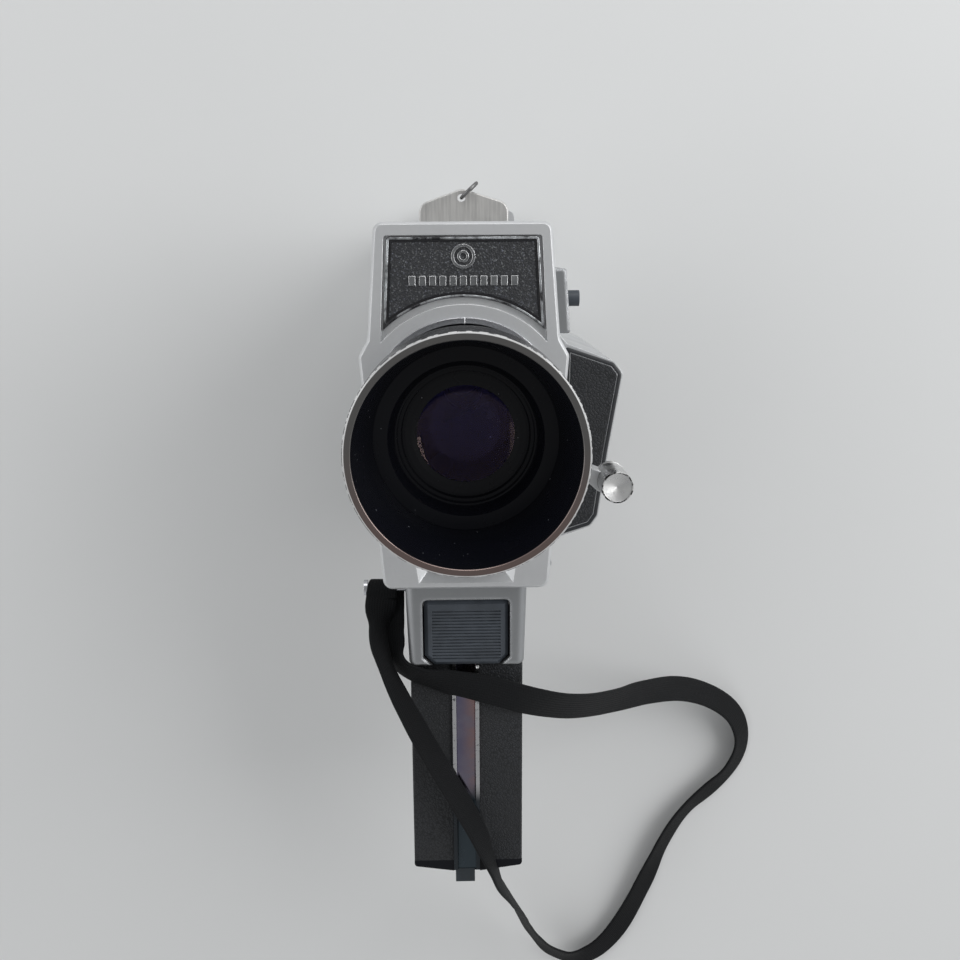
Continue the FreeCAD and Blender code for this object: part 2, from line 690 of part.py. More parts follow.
def zoom_ring():
    inner = "barrel_outer + running"
    profile = [
        (inner, "zoom_back"), ("zoom_outer - 0.6", "zoom_back"), ("zoom_outer", "zoom_back + 0.6"),
        ("zoom_outer", "focus_back - 1"), ("zoom_outer - 0.6", "focus_back - 0.4"), (inner, "focus_back - 0.4"),
    ]
    ring = spin("zoom_ring_body", profile)
    grooves = [tube("zoom_groove%d" % n, "zoom_outer + 1", "zoom_outer - 0.4", "Z", ("0", "0"),
                    ("zoom_back + %g" % (2 + 1.6 * n), "zoom_back + %g" % (2.8 + 1.6 * n))) for n in range(4)]
    return keep(cut("zoom_ring", ring, grooves), "zoom_ring")


def at_lever(thing):
    """Turn a piece drawn along +X about the lens axis to the lever's place."""
    turned = doc.addObject("Part::Compound", thing.Name + "_turned")
    turned.Links = [thing]
    bind(turned, "Placement.Rotation.Angle", "lever_turn")
    return turned


def zoom_lever():
    """A cranked lever: a leg on the ring, a riser clear of the focus ring, and an arm that holds the knob."""
    leg = box("lever_leg", ("20", "30.6"), ("-1.9", "1.9"), ("lever_level", "lever_level + 6"))
    riser = box("lever_riser", ("28.6", "30.6"), ("-1.9", "1.9"), ("lever_level", "arm_front"))
    arm = slab("lever_arm", [("28.6", "-1.9"), ("32", "-1.9"), ("35.4", "-3.5"), ("37.6", "-3.7"), ("37.6", "1.2"),
                             ("28.6", "1.9")], "arm_back", "arm_front")
    ring_space = cylinder("lever_ring_space", "zoom_outer", "Z", ("0", "0"), ("120", "145"))
    knob_seat = cylinder("lever_knob_seat", "knob_radius", "Z", ("lever_reach", "0"), ("120", "160"))
    lever = cut("lever", fuse("lever_fuse", [leg, riser, arm]), [ring_space, knob_seat])
    return keep(at_lever(lever), "zoom_lever")


def zoom_knob():
    """A turned knob with a coned dish in its end."""
    centre = ("lever_reach", "0")
    bar = cylinder("knob_bar", "knob_radius", "Z", centre, ("arm_back", "knob_front"))
    dish = round_bar("Part::Cone", "knob_dish", "Z", centre, ("knob_front - 1", "knob_front + 0.01"))
    bind(dish, "Radius1", "0.01")
    bind(dish, "Radius2", "knob_radius - 0.4")
    return keep(at_lever(cut("knob", bar, [dish])), "zoom_knob")


def focus_ring():
    inner = "barrel_outer + running"
    profile = [
        (inner, "focus_back"), ("26", "focus_back"), ("26.6", "focus_back + 0.6"), ("26.6", "hood_back - 1"),
        ("26", "hood_back"), ("hood_throat + 0.1", "hood_back"), ("hood_throat + 0.1", "147"), (inner, "147"),
    ]
    ring = spin("focus_ring_body", profile)
    ribs = 48
    notches = []
    for number in range(ribs):
        notch = doc.addObject("Part::Box", "focus_notch%d" % number)
        notch.Length = 2
        notch.Width = 1.2
        notch.Height = 7
        turn = FreeCAD.Rotation(V(0, 0, 1), 360 * number / ribs)
        start = turn.multVec(V(26.1, -0.6, 0)) + V(0, 0, size("focus_back + 1.6"))
        notch.Placement = FreeCAD.Placement(start, turn)
        notches.append(notch)
    grip = doc.addObject("Part::Compound", "focus_notches")
    grip.Links = notches
    return keep(cut("focus_ring", ring, [grip]), "focus_ring")


def lens_hood():
    """A deep cone with a flat rim, bevelled on its outer edge."""
    profile = [
        ("hood_throat", "hood_back"), ("26.4", "hood_back"), ("rim_outer", "hood_back + 5"),
        ("rim_outer", "rim_front - 0.5"), ("rim_outer - 0.5", "rim_front"), ("rim_inner + 0.2", "rim_front"),
        ("rim_inner", "rim_front - 0.2"), ("rim_inner", "rim_front - 3.2"), ("rim_inner - 0.6", "rim_front - 7"),
    ]
    return keep(spin("lens_hood_body", profile), "lens_hood")


def front_cell():
    """The stepped black cell that holds the front element."""
    sleeve = "barrel_inner - running"
    profile = [
        (sleeve, "138.5"), (sleeve, "147"), ("hood_throat", "147"), ("hood_throat", "hood_back - 0.3"),
        ("19.2", "hood_back - 0.3"), ("17.6", "144.4"), ("17.2", "144.4"), ("17", "143"),
        ("16.2", "143"), ("15.9", "141.6"), ("15.2", "141.6"), ("13.6", "141.3"), ("12.3", "140.95"),
        ("12.3", "140.75"), ("13.2", "140.3"), ("13.2", "138.5"),
    ]
    return keep(spin("front_cell_body", profile), "front_cell")


def lens_element(name, radius, middle, edge_half, front_bulge, rear_bulge, centre=("0", "0")):
    """A glass element: a disc whose faces are parts of spheres."""
    rim, level = size(radius), size(middle)
    low, high = level - edge_half, level + edge_half
    solid = Part.makeCylinder(rim, high - low, V(size(centre[0]), size(centre[1]), low))
    for bulge, face, side in ((front_bulge, high, 1), (rear_bulge, low, -1)):
        curve = (rim * rim + bulge * bulge) / (2 * abs(bulge))
        axis_place = V(size(centre[0]), size(centre[1]), 0)
        ball = Part.makeSphere(curve, axis_place + V(0, 0, face + side * (bulge - math.copysign(curve, bulge))))
        if bulge > 0:
            slab = Part.makeCylinder(rim, bulge, axis_place + V(0, 0, face if side > 0 else face - bulge))
            solid = solid.fuse(slab.common(ball))
        else:
            solid = solid.cut(ball)
    thing = doc.addObject("Part::Feature", name)
    thing.Shape = solid.removeSplitter()
    thing.Placement = FreeCAD.Placement()
    return keep(thing, name)


def lens_glass():
    lens_element("front_element", "13.15", "139", 1.1, 2.4, 0.6)
    lens_element("eyepiece_glass", "6.2", "6", 1.0, 0.8, 0.8, ("finder_x", "finder_y"))


def zoom_cell():
    """The carriage that slides in the barrel with the zoom glass."""
    profile = [
        ("12", "121"), ("barrel_inner - running", "121"), ("barrel_inner - running", "129"), ("18", "129"),
        ("18", "123"), ("12", "123"),
    ]
    return keep(spin("zoom_cell_body", profile), "zoom_cell")


def zoom_glass():
    lens_element("zoom_glass", "11.9", "122", 0.9, -0.5, -0.5)


def rear_optics():
    """The rear lens, the beam splitter and the prism that turns its light into the finder."""
    lens = cylinder("rear_lens", "6", "Z", ("0", "0"), ("98.6", "100"))
    splitter = box("beam_splitter", ("-3.2", "3.2"), ("-3.2", "3.2"), ("100.8", "107.2"))
    turner = box("finder_prism", ("-2.6", "finder_x + 4"), ("finder_y - 3", "finder_y + 3"), ("100.6", "105.8"))
    group = doc.addObject("Part::Compound", "prisms")
    group.Links = [lens, splitter, turner]
    return keep(group, "rear_optics")


def splitter_seat():
    low, high = "100", "108"
    frame = box("splitter_frame", ("-5", "5"), ("-4.6", "4.6"), (low, high))
    seat = box("splitter_seat", ("-3.2", "3.2"), ("-3.2", "6"), ("100.8", "107.2"))
    path = cylinder("splitter_path", "2.6", "Z", ("0", "0"), ("90", "120"))
    return cut("splitter_holder", frame, [seat, path])


METER = ("-13.6", "0")


def meter_movement():
    """The moving-coil meter that turns the iris vane."""
    case = cylinder("meter_case", "4.6", "Z", METER, ("110.9", "115"))
    foot = box("meter_foot", ("-17.4", "-9.8"), ("-2.6", "2.6"), ("100", "104"))
    pillar = box("meter_pillar", ("-18.4", "-17.2"), ("-2", "2"), ("104", "112"))
    return keep(fuse("meter_movement", [case, foot, pillar]), "meter_movement")


def iris_vane():
    """A blackened blade with a tapering opening, turned by the meter."""
    body = new_body("iris_blade")
    corners = [("-16", "-1.6"), ("-12", "-2.4"), ("-4", "-6"), ("6", "-6"), ("6", "6"), ("-4", "6"),
               ("-12", "2.4"), ("-16", "1.6")]
    pad(body, outline(body, "XY_Plane", corners, "109.4"), "0.5")
    pocket(body, outline(body, "XY_Plane", [("-3", "-4"), ("4", "-1.2"), ("4", "1.2"), ("-3", "4")], "109.4"),
           "0.5")
    stem = cylinder("iris_stem", "0.8", "Z", METER, ("108.6", "110.7"))
    return keep(fuse("iris_vane", [body, stem]), "iris_vane")


# Finder.

FINDER = ("finder_x", "finder_y")


def finder_tube():
    tube_long = tube("finder_long", "6.8", "5.8", "Z", FINDER, ("9.2", "99.8"))
    return keep(tube_long, "finder_tube")


def eyecup():
    """A rubber ring sunk in the rear cover."""
    ring = cylinder("eyecup_ring", "13.1", "Z", ("finder_x", "finder_y + 1.4"), ("0.5", "9"))
    bore = cylinder("eyecup_bore", "8.2", "Z", FINDER, ("-1", "10"))
    dish = round_bar("Part::Cone", "eyecup_dish", "Z", FINDER, ("0", "3"))
    bind(dish, "Radius1", "10.6")
    bind(dish, "Radius2", "8.2")
    return keep(cut("eyecup", ring, [bore, dish]), "eyecup")


def dioptre_ring():
    ring = tube("dioptre_tube", "7.9", "6.3", "Z", FINDER, ("2.4", "8.8"))
    return keep(ring, "dioptre_ring")


# Filter key.

def filter_key():
    """A flat key: a gabled handle with a ring hole, and a tongue in the top slot."""
    body = new_body("filter_key_body")
    foot = "body_top - 0.6"
    corners = [("13", foot), ("13", "57.8"), ("0", "61.9"), ("-12.2", "57.6"), ("-12.2", foot),
               ("-8", foot), ("-8", "37"), ("-3.4", "37"), ("-3.4", foot)]
    pad(body, outline(body, "XY_Plane", corners, "94.5"), "1.6")
    rounded(body, "3.4", lambda edge: upright(edge) and edge.CenterOfMass.y > 55)
    pocket(body, circle(body, "XY_Plane", ("-0.2", "59.4"), "1.1", "94.5"), "1.6")
    rounded(body, "0.3", lambda edge: edge.BoundBox.ZMin > 96.05 and edge.CenterOfMass.y > 53
            and not edge.isClosed(), "PartDesign::Chamfer")
    return keep(body, "filter_key")


def key_ring():
    """A wire ring through the key's hole, leaning up and to the operator's left."""
    ring = doc.addObject("Part::Torus", "key_ring")
    ring.Radius1 = 2.9
    ring.Radius2 = 0.5
    lean = FreeCAD.Rotation(V(0, 0, 1), 43)
    stand = FreeCAD.Rotation(V(1, 0, 0), 90)
    hole = V(-0.2, 59.4, 95.3)
    ring.Placement = FreeCAD.Placement(hole + lean.multVec(V(2.9, 0, 0)), lean.multiply(stand))
    return keep(ring, "key_ring")


# Latch and film door.

def latch_housing():
    """A block on the left shell that guides the latch button."""
    body = new_body("latch_block")
    corners = [("26.2", "21.9"), ("30.2", "21.9"), ("28.9", "39.85"), ("24.75", "39.85")]
    pad(body, outline(body, "XY_Plane", corners, "72"), "31")
    rounded(body, "0.8", lambda edge: upright(edge) and edge.CenterOfMass.x > 28)
    bore = cylinder("latch_bore", "2.3", "X", ("31.5", "99"), ("20", "40"))
    well = cylinder("latch_well", "3.1", "X", ("31.5", "99"), ("20", "28.1"))
    return keep(cut("latch_housing", body, [bore, well]), "latch_housing")


def latch_button():
    stub = cylinder("latch_stub", "2.25", "X", ("31.5", "99"), ("27.4", "32.9"))
    flange = cylinder("latch_flange", "2.9", "X", ("31.5", "99"), ("27.2", "28"))
    return keep(fuse("latch_button", [stub, flange]), "latch_button")


def coil(name, centre, radius, wire, length, turns):
    """An open coil spring along Z, as a swept wire."""
    helix = Part.makeHelix(length / turns, length, radius)
    section = Part.Wire([Part.Circle(V(radius, 0, 0), V(0, 1, 0), wire).toShape()])
    solid = Part.Wire(helix).makePipeShell([section], True, True)
    thing = doc.addObject("Part::Feature", name)
    thing.Shape = solid
    thing.Placement = FreeCAD.Placement(centre, FreeCAD.Rotation())
    return keep(thing, name)


def latch_spring():
    """A folded leaf spring behind the button's flange."""
    body = new_body("latch_leaf")
    corners = [("25.5", "29.2"), ("27.15", "31.5"), ("25.5", "33.8"), ("25.5", "33.4"), ("26.85", "31.5"),
               ("25.5", "29.6")]
    pad(body, outline(body, "XY_Plane", corners, "97.8"), "2.4")
    return keep(body, "latch_spring")


DOOR_BULGE = [("24.7", "-38.2"), ("26", "-38.2"), ("36.8", "-34.6"), ("39", "-31.4"), ("41.7", "-11.6"),
              ("45.4", "10.6"), ("42.9", "13.8"), ("29.4", "18.9"), ("27.3", "21.3"), ("26.7", "20.9"),
              ("29.15", "16.4")]


def film_door():
    """A hollow bulge over the film chamber, with a lip down to its two hinge knuckles."""
    body = slab("door_bulge", DOOR_BULGE, "door_back", "door_front")
    rounded(body, "2.4", lambda edge: upright(edge) and edge.CenterOfMass.x > 34)
    hollow = slab("door_hollow", [("20", "-36.2"), ("36", "-33.2"), ("37.5", "-31"), ("40.1", "-11.5"),
                                  ("43.7", "10.2"), ("42.2", "12.5"), ("20", "15.5")],
                        "door_back + door_wall", "door_front - door_wall")
    lip = slab("door_lip", [("24.1", "-46.9"), ("25.7", "-46.9"), ("26.6", "-36"), ("24.95", "-36")],
                     "door_back", "94")
    knuckles = []
    for number, (low, high) in enumerate((("door_back", "44"), ("74", "94"))):
        knuckles.append(cylinder("door_knuckle%d" % number, "knuckle", "Z", ("hinge_x", "hinge_y"), (low, high)))
        knuckles.append(box("door_arm%d" % number, ("hinge_x - 0.8", "hinge_x + 0.7"), ("hinge_y", "-46.5"),
                            (low, high)))
    bore = cylinder("door_bore", "0.65", "Z", ("hinge_x", "hinge_y"), ("0", "120"))
    shell = cut("door_shell", body, [hollow])
    return keep(cut("film_door", fuse("film_door_fuse", [shell, lip] + knuckles), [bore]), "film_door")


def door_panels():
    """Leatherette on the bulge's front and on its outer side."""
    front = slab("door_front_blank", [("29.8", "-35.2"), ("36.4", "-33.4"), ("37.9", "-31.2"), ("40.7", "-11.6"),
                                      ("44.3", "10.2"), ("42.4", "12.7"), ("29.8", "17.4")],
                 "door_front", "door_front + 0.6")
    side = slab("door_side_blank", [("39.22", "-30"), ("39.82", "-30.1"), ("42.3", "-11.7"), ("45.8", "9"),
                                    ("45.2", "9.1"), ("41.72", "-11.6")],
                "door_back + 6", "door_front - 5")
    group = doc.addObject("Part::Compound", "panels")
    group.Links = [front, side]
    return keep(group, "door_panels")


# Grip.

def grip_casting():
    """The hollow silver casting under the body, open at its front for the trigger."""
    body = new_body("casting_block")
    corners = [("casting_half - 0.9", "-casting_foot"), ("casting_half", "-body_foot + 0.5")]
    pad(body, outline(body, "XY_Plane", mirrored(corners), "casting_back"), "casting_front - casting_back")
    rounded(body, "2.6", lambda edge: along(edge, V(0, 1, 0)))
    rounded(body, "1.6", lambda edge: upright(edge) and edge.CenterOfMass.y < -70)
    hollow = box("casting_hollow", ("-casting_half + 2", "casting_half - 2"), ("-casting_foot + 2", "-53"),
                 ("casting_back + 2", "casting_front - 2.4"))
    return keep(cut("grip_casting", body, [hollow, trigger_mouth()]), "grip_casting")


def trigger_mouth():
    """The trigger's outline with a running gap, rounded at the top."""
    half = [("trigger_half - 3.33", "-casting_foot - 1"), ("trigger_half + 0.4", "-trigger_foot + 2.83"),
            ("trigger_half + 0.4", "-57.3")]
    mouth = slab("trigger_mouth", mirrored(half), "casting_front - 9", "casting_front + 1")
    rounded(mouth, "1.6", lambda edge: upright(edge) and edge.CenterOfMass.y > -60)
    return mouth


def trigger():
    """A ribbed pad with bevelled edges and two ears on its pin."""
    body = new_body("trigger_pad")
    half = [("trigger_half - 3", "-trigger_foot"), ("trigger_half", "-trigger_foot + 3"), ("trigger_half", "-57.9")]
    pad(body, outline(body, "XY_Plane", mirrored(half), "trigger_front - 3.4"), "3.4")
    rounded(body, "1.3", lambda edge: upright(edge) and edge.CenterOfMass.y > -60)
    front = size("trigger_front")
    rounded(body, "1.25", lambda edge: abs(edge.BoundBox.ZMin - front) + abs(edge.BoundBox.ZMax - front) < 1e-3,
            "PartDesign::Chamfer")
    grooves = []
    ribs = 16
    for rib in range(ribs):
        low = "-60.6 - %g" % (rib + 1)
        grooves.append(box("trigger_groove%d" % rib, ("-10.4", "10.4"), (low, low + " + 0.4"),
                           ("trigger_front - 0.5", "trigger_front + 1")))
    comb = doc.addObject("Part::Compound", "trigger_grooves")
    comb.Links = grooves
    ears = []
    for number, low in enumerate((-12, 9.6)):
        ears.append(box("trigger_ear%d" % number, ("%g" % low, "%g" % (low + 2.4)),
                        ("trigger_y - 2.2", "trigger_y + 2.2"), ("trigger_z - 2.2", "trigger_front - 3.4")))
    bore = cylinder("trigger_bore", "1.05", "X", ("trigger_y", "trigger_z"), ("-20", "20"))
    return keep(cut("trigger", fuse("trigger_fuse", [body] + ears), [comb, bore]), "trigger")


def hinge_pins():
    """Three dowels: the film door's, the trigger's and the battery door's."""
    half = "casting_half - 2"
    dowels = [
        cylinder("door_pin", "0.6", "Z", ("hinge_x", "hinge_y"), ("door_back + 0.2", "93.8")),
        cylinder("trigger_pin", "1", "X", ("trigger_y", "trigger_z"), ("-(%s)" % half, half)),
        cylinder("lid_pin", "0.5", "Y", ("-13.4", "grip_back + 1"), ("-144.6", "-86.4")),
    ]
    group = doc.addObject("Part::Compound", "dowels")
    group.Links = dowels
    return keep(group, "hinge_pins")


def run_switch():
    """A snap switch on a bracket that also seats the trigger's spring; its plunger meets the trigger."""
    case = box("switch_case", ("-5", "5"), ("-74", "-66"), ("84", "91"))
    post = box("switch_post", ("-3", "3"), ("-casting_foot + 2", "-70"), ("78", "84"))
    plunger = cylinder("switch_plunger", "1", "Z", ("0", "-72.5"), ("91", "93.6"))
    seat = box("spring_seat", ("3", "12"), ("-casting_foot + 2", "-68"), ("86.4", "87.8"))
    return keep(fuse("run_switch", [case, post, plunger, seat]), "run_switch")


def trigger_spring():
    return coil("trigger_spring", V(9.2, -71, 88.2), 1.8, 0.3, 8.6, 5)


def grip_frame():
    """The cast handle: a rectangular tube with the battery opening in its back."""
    skin = "panel_thick"
    half = "grip_half - " + skin
    outer = box("handle_outer", ("-(%s)" % half, half), ("-grip_foot", "-casting_foot"),
                ("grip_back", "grip_front - " + skin))
    inner = box("handle_inner", ("-14.8", "14.8"), ("-grip_foot + 2", "-casting_foot - 2.4"),
                ("grip_back + 2", "grip_front - 2.8"))
    opening = box("battery_opening", ("-14.6", "14.6"), ("-143.4", "-87.6"), ("grip_back - 1", "grip_back + 3"))
    bush = cylinder("bush_space", "5", "Y", ("0", "socket_z"), ("-grip_foot - 1", "-grip_foot + 4"))
    return keep(cut("grip_frame", outer, [inner, opening, bush]), "grip_frame")


def grip_panel(side):
    """Leatherette folded over one front corner of the handle."""
    body = new_body("grip_panel_body")
    seam = "strip_x + %d * (strip_half + 0.1)" % side
    edge, inner = "%d * grip_half" % side, "%d * (grip_half - panel_thick)" % side
    corners = [(seam, "grip_front"), (edge, "grip_front"), (edge, "grip_back + 4"), (inner, "grip_back + 4"),
               (inner, "grip_front - panel_thick"), (seam, "grip_front - panel_thick")]
    pad(body, outline(body, "XZ_Plane", corners, "casting_foot + 0.4"), "grip_foot - casting_foot - 0.4")
    outer = (size(edge), size("grip_front"))
    rounded(body, "0.7", lambda e: along(e, V(0, 1, 0)) and abs(e.CenterOfMass.x - outer[0]) < 0.1
            and abs(e.CenterOfMass.z - outer[1]) < 0.1)
    return body


def grip_panels():
    group = doc.addObject("Part::Compound", "handle_panels")
    group.Links = [grip_panel(1), grip_panel(-1)]
    return keep(group, "grip_panels")


def trim_strip():
    """A bright channel with raised rims down the middle of the grip's front."""
    body = new_body("strip_channel")
    floor, rim = "grip_front - 0.2", "grip_front + 0.9"
    half = [("strip_half", "grip_front - panel_thick"), ("strip_half", rim), ("strip_half - 1.2", rim),
            ("strip_half - 1.5", floor)]
    corners = [("strip_x + %s" % across, up) for across, up in half]
    corners += [("strip_x - (%s)" % across, up) for across, up in reversed(half)]
    pad(body, outline(body, "XZ_Plane", corners, "casting_foot + 0.4"), "151.1 - casting_foot - 0.4")
    return keep(body, "trim_strip")


STRIP_FOOT = (("-4.1", "2.1"), ("-155.8", "-151.1"), ("87", "grip_front"))


def strip_foot():
    """The dark end piece that closes the strip and wraps under the grip."""
    return keep(box("strip_end", *STRIP_FOOT), "strip_foot")


def grip_base():
    """The handle's end plate, a shallow V, with the hole for the tripod bush."""
    body = new_body("base_block")
    corners = [("grip_half", "-150"), ("grip_half", "-grip_foot"), ("-grip_half", "-grip_foot"),
               ("-grip_half", "-150"), ("0", "-152.5")]
    pad(body, outline(body, "XY_Plane", corners, "grip_back"), "grip_front - grip_back")
    rounded(body, "1.2", lambda edge: upright(edge) and edge.CenterOfMass.y < -149 and abs(edge.CenterOfMass.x) > 5)
    hole = cylinder("base_hole", "5", "Y", ("0", "socket_z"), ("-160", "-140"))
    notch = box("base_notch", ("strip_x - strip_half", "strip_x + strip_half"), ("-160", "-140"),
                ("grip_front - panel_thick", "grip_front + 2"))
    seat = box("base_seat", *STRIP_FOOT)
    return keep(cut("grip_base", body, [hole, notch, seat]), "grip_base")


def tripod_bush():
    """A brass bush with the standard quarter-inch tripod thread, held as a plain bore."""
    bush = tube("bush_barrel", "5", "socket_radius", "Y", ("0", "socket_z"), ("-152.2", "-144.2"))
    return keep(bush, "tripod_bush")


CELL_PLACES = [("-7.3", "58.8"), ("7.3", "58.8"), ("-7.3", "73.4"), ("7.3", "73.4")]


def battery_cells():
    cells = []
    for number, place in enumerate(CELL_PLACES):
        can = cylinder("cell_can%d" % number, "cell_radius", "Y", place, ("-92.2 - cell_length + 1.2", "-92.2"))
        tip = cylinder("cell_tip%d" % number, "2.6", "Y", place, ("-92.2 - cell_length", "-91 - cell_length"))
        cells.append(fuse("cell%d" % number, [can, tip]))
    group = doc.addObject("Part::Compound", "cells")
    group.Links = cells
    return keep(group, "battery_cells")


def contact_board():
    board = box("contact_plate", ("-14.6", "14.6"), ("-90", "-88.6"), ("grip_back + 3.6", "81"))
    springs = [cylinder("contact%d" % number, "2.4", "Y", place, ("-92.2", "-90"))
               for number, place in enumerate(CELL_PLACES)]
    return keep(fuse("contact_board", [board] + springs), "contact_board")


def battery_door():
    """A lid in the handle's back, hinged along its right edge."""
    panel = box("lid_panel", ("-13.4", "14.2"), ("-142.9", "-88.1"), ("grip_back", "grip_back + 1.6"))
    barrel = cylinder("lid_barrel", "1.15", "Y", ("-13.4", "grip_back + 1"), ("-142.9", "-88.1"))
    bore = cylinder("lid_bore", "0.55", "Y", ("-13.4", "grip_back + 1"), ("-145", "-85"))
    return keep(cut("battery_door", fuse("lid_fuse", [panel, barrel]), [bore]), "battery_door")


# Strap.

def strap_post():
    post = cylinder("post_rod", "post_radius", "X", ("post_y", "post_z"), ("-31", "-casting_half + 0.16"))
    head = cylinder("post_head", "2.4", "X", ("post_y", "post_z"), ("-31.6", "-30.4"))
    return keep(fuse("strap_post", [post, head]), "strap_post")


def strap_eye():
    """The strap's two ends, sewn into one loop round the post."""
    ring = tube("eye_ring", "3", "post_radius + 0.05", "X", ("post_y", "post_z"), ("-29.8", "-20.2"))
    return keep(ring, "strap_eye")


def route_path(points):
    """Straight runs joined by the largest tangent arcs that the runs allow."""
    places = [V(*point) for point in points]
    edges = []
    radii = []
    start = places[0]
    for before, corner, after in zip(places, places[1:], places[2:]):
        inward = (before - corner).normalize()
        outward = (after - corner).normalize()
        turn = math.pi - inward.getAngle(outward)
        reach = 0.45 * min((before - corner).Length, (after - corner).Length)
        radius = reach / math.tan(turn / 2)
        middle_way = (inward + outward).normalize()
        middle = corner + middle_way * (radius / math.cos(turn / 2) - radius)
        arc_start = corner + inward * reach
        arc_end = corner + outward * reach
        edges.append(Part.LineSegment(start, arc_start).toShape())
        edges.append(Part.Arc(arc_start, middle, arc_end).toShape())
        radii.append(radius)
        start = arc_end
    edges.append(Part.LineSegment(start, places[-1]).toShape())
    return Part.Wire(edges), radii


def wrist_strap():
    path, radii = route_path(STRAP_ROUTE)
    radius = size("strap_diameter") / 2
    first = V(*STRAP_ROUTE[0])
    section = Part.Wire([Part.Circle(first, V(*STRAP_ROUTE[1]) - first, radius).toShape()])
    solid = path.makePipeShell([section], True, True)
    expected = math.pi * radius * radius * path.Length
    print("strap length %.1f, radii %s" % (path.Length, " ".join("%.1f" % value for value in radii)))
    print("strap volume %.1f, section times length %.1f" % (solid.Volume, expected))
    thing = doc.addObject("Part::Feature", "strap_tube")
    thing.Shape = solid
    thing.Placement = FreeCAD.Placement()
    return keep(thing, "wrist_strap")


def build():
    fill_sheet()
    makers = [
        front_plate, nameplate, nameplate_emblem, lens_collar, meter_window,
        right_shell, left_shell, top_cover, rear_cover, cover_screws, side_panel,
        chassis, gate_plate, film_claw, shutter_disc, shutter_gear, motor_shaft, drive_motor, takeup_spindle,
        lens_barrel, zoom_ring, zoom_lever, zoom_knob, focus_ring, lens_hood, front_cell, lens_glass, zoom_cell,
        zoom_glass, rear_optics, meter_movement, iris_vane, finder_tube, eyecup, dioptre_ring,
        filter_key, key_ring,
        latch_housing, latch_button, latch_spring, film_door, door_panels,
        grip_casting, trigger, hinge_pins, run_switch, trigger_spring,
        grip_frame, grip_panels, trim_strip, strip_foot, grip_base, tripod_bush, battery_cells, contact_board,
        battery_door, strap_post, strap_eye, wrist_strap,
    ]
    for maker in makers:
        maker()
    doc.recompute()


def check():
    """Stop if any object failed, or any piece is empty or invalid."""
    for thing in doc.Objects:
        if "Invalid" in thing.State or "Error" in thing.State:
            raise RuntimeError("%s (%s) failed: %s" % (thing.Name, thing.Label, thing.State))
    for piece in pieces:
        if piece.Shape.isNull() or not piece.Shape.isValid():
            raise RuntimeError("%s has no valid shape" % piece.Label)
        if not piece.Shape.Solids:
            raise RuntimeError("%s has no solid" % piece.Label)


def export():
    os.makedirs("parts", exist_ok=True)
    for piece in pieces:
        piece.Shape.exportStep("parts/%s.step" % piece.Label)


build()
check()
export()
print("%d pieces" % len(pieces))
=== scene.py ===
import json
import math
import random

import bmesh
import bpy
from mathutils import Matrix, Vector, noise


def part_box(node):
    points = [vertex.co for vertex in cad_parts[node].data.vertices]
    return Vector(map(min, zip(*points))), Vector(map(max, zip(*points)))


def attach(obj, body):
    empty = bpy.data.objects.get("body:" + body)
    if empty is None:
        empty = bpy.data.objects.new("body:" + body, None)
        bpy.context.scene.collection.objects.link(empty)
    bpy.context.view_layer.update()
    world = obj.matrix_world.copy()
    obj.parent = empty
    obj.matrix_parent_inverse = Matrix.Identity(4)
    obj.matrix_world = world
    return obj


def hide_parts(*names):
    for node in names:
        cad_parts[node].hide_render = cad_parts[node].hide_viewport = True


# Looks for the cine camera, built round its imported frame. Metres, in the frame of the CAD model:
# +Z runs along the lens axis, +Y to the camera's top and +X to the operator's left.

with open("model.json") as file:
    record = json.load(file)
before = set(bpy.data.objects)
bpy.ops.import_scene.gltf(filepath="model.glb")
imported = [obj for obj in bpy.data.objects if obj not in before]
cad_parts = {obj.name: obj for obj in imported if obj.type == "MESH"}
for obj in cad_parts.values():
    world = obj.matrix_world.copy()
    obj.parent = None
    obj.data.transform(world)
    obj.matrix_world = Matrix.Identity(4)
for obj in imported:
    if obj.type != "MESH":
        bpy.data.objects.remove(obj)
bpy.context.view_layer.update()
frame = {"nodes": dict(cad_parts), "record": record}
nodes = frame["nodes"]
MM = 0.001
random.seed(7)

CAMERA_PLACE = Vector((-0.0024, 0.0454, 0.3985))
CAMERA_AIM = Vector((0.0042, -0.0188, 0.1100))
CAMERA_ROLL = math.radians(-0.35)
CAMERA_LENS = 39.0

STRAP_WIDTH = 0.0095
STRAP_THICK = 0.0011
LOOP_RADIUS = 2.1 * MM

NAMEPLATE_ARC = 32.4 * MM
NAMEPLATE_CORNER = 1.1 * MM
CORNER_STEPS = 6
SHARP_CORNER = 0.01 * MM
FLAT_FIELD = 3

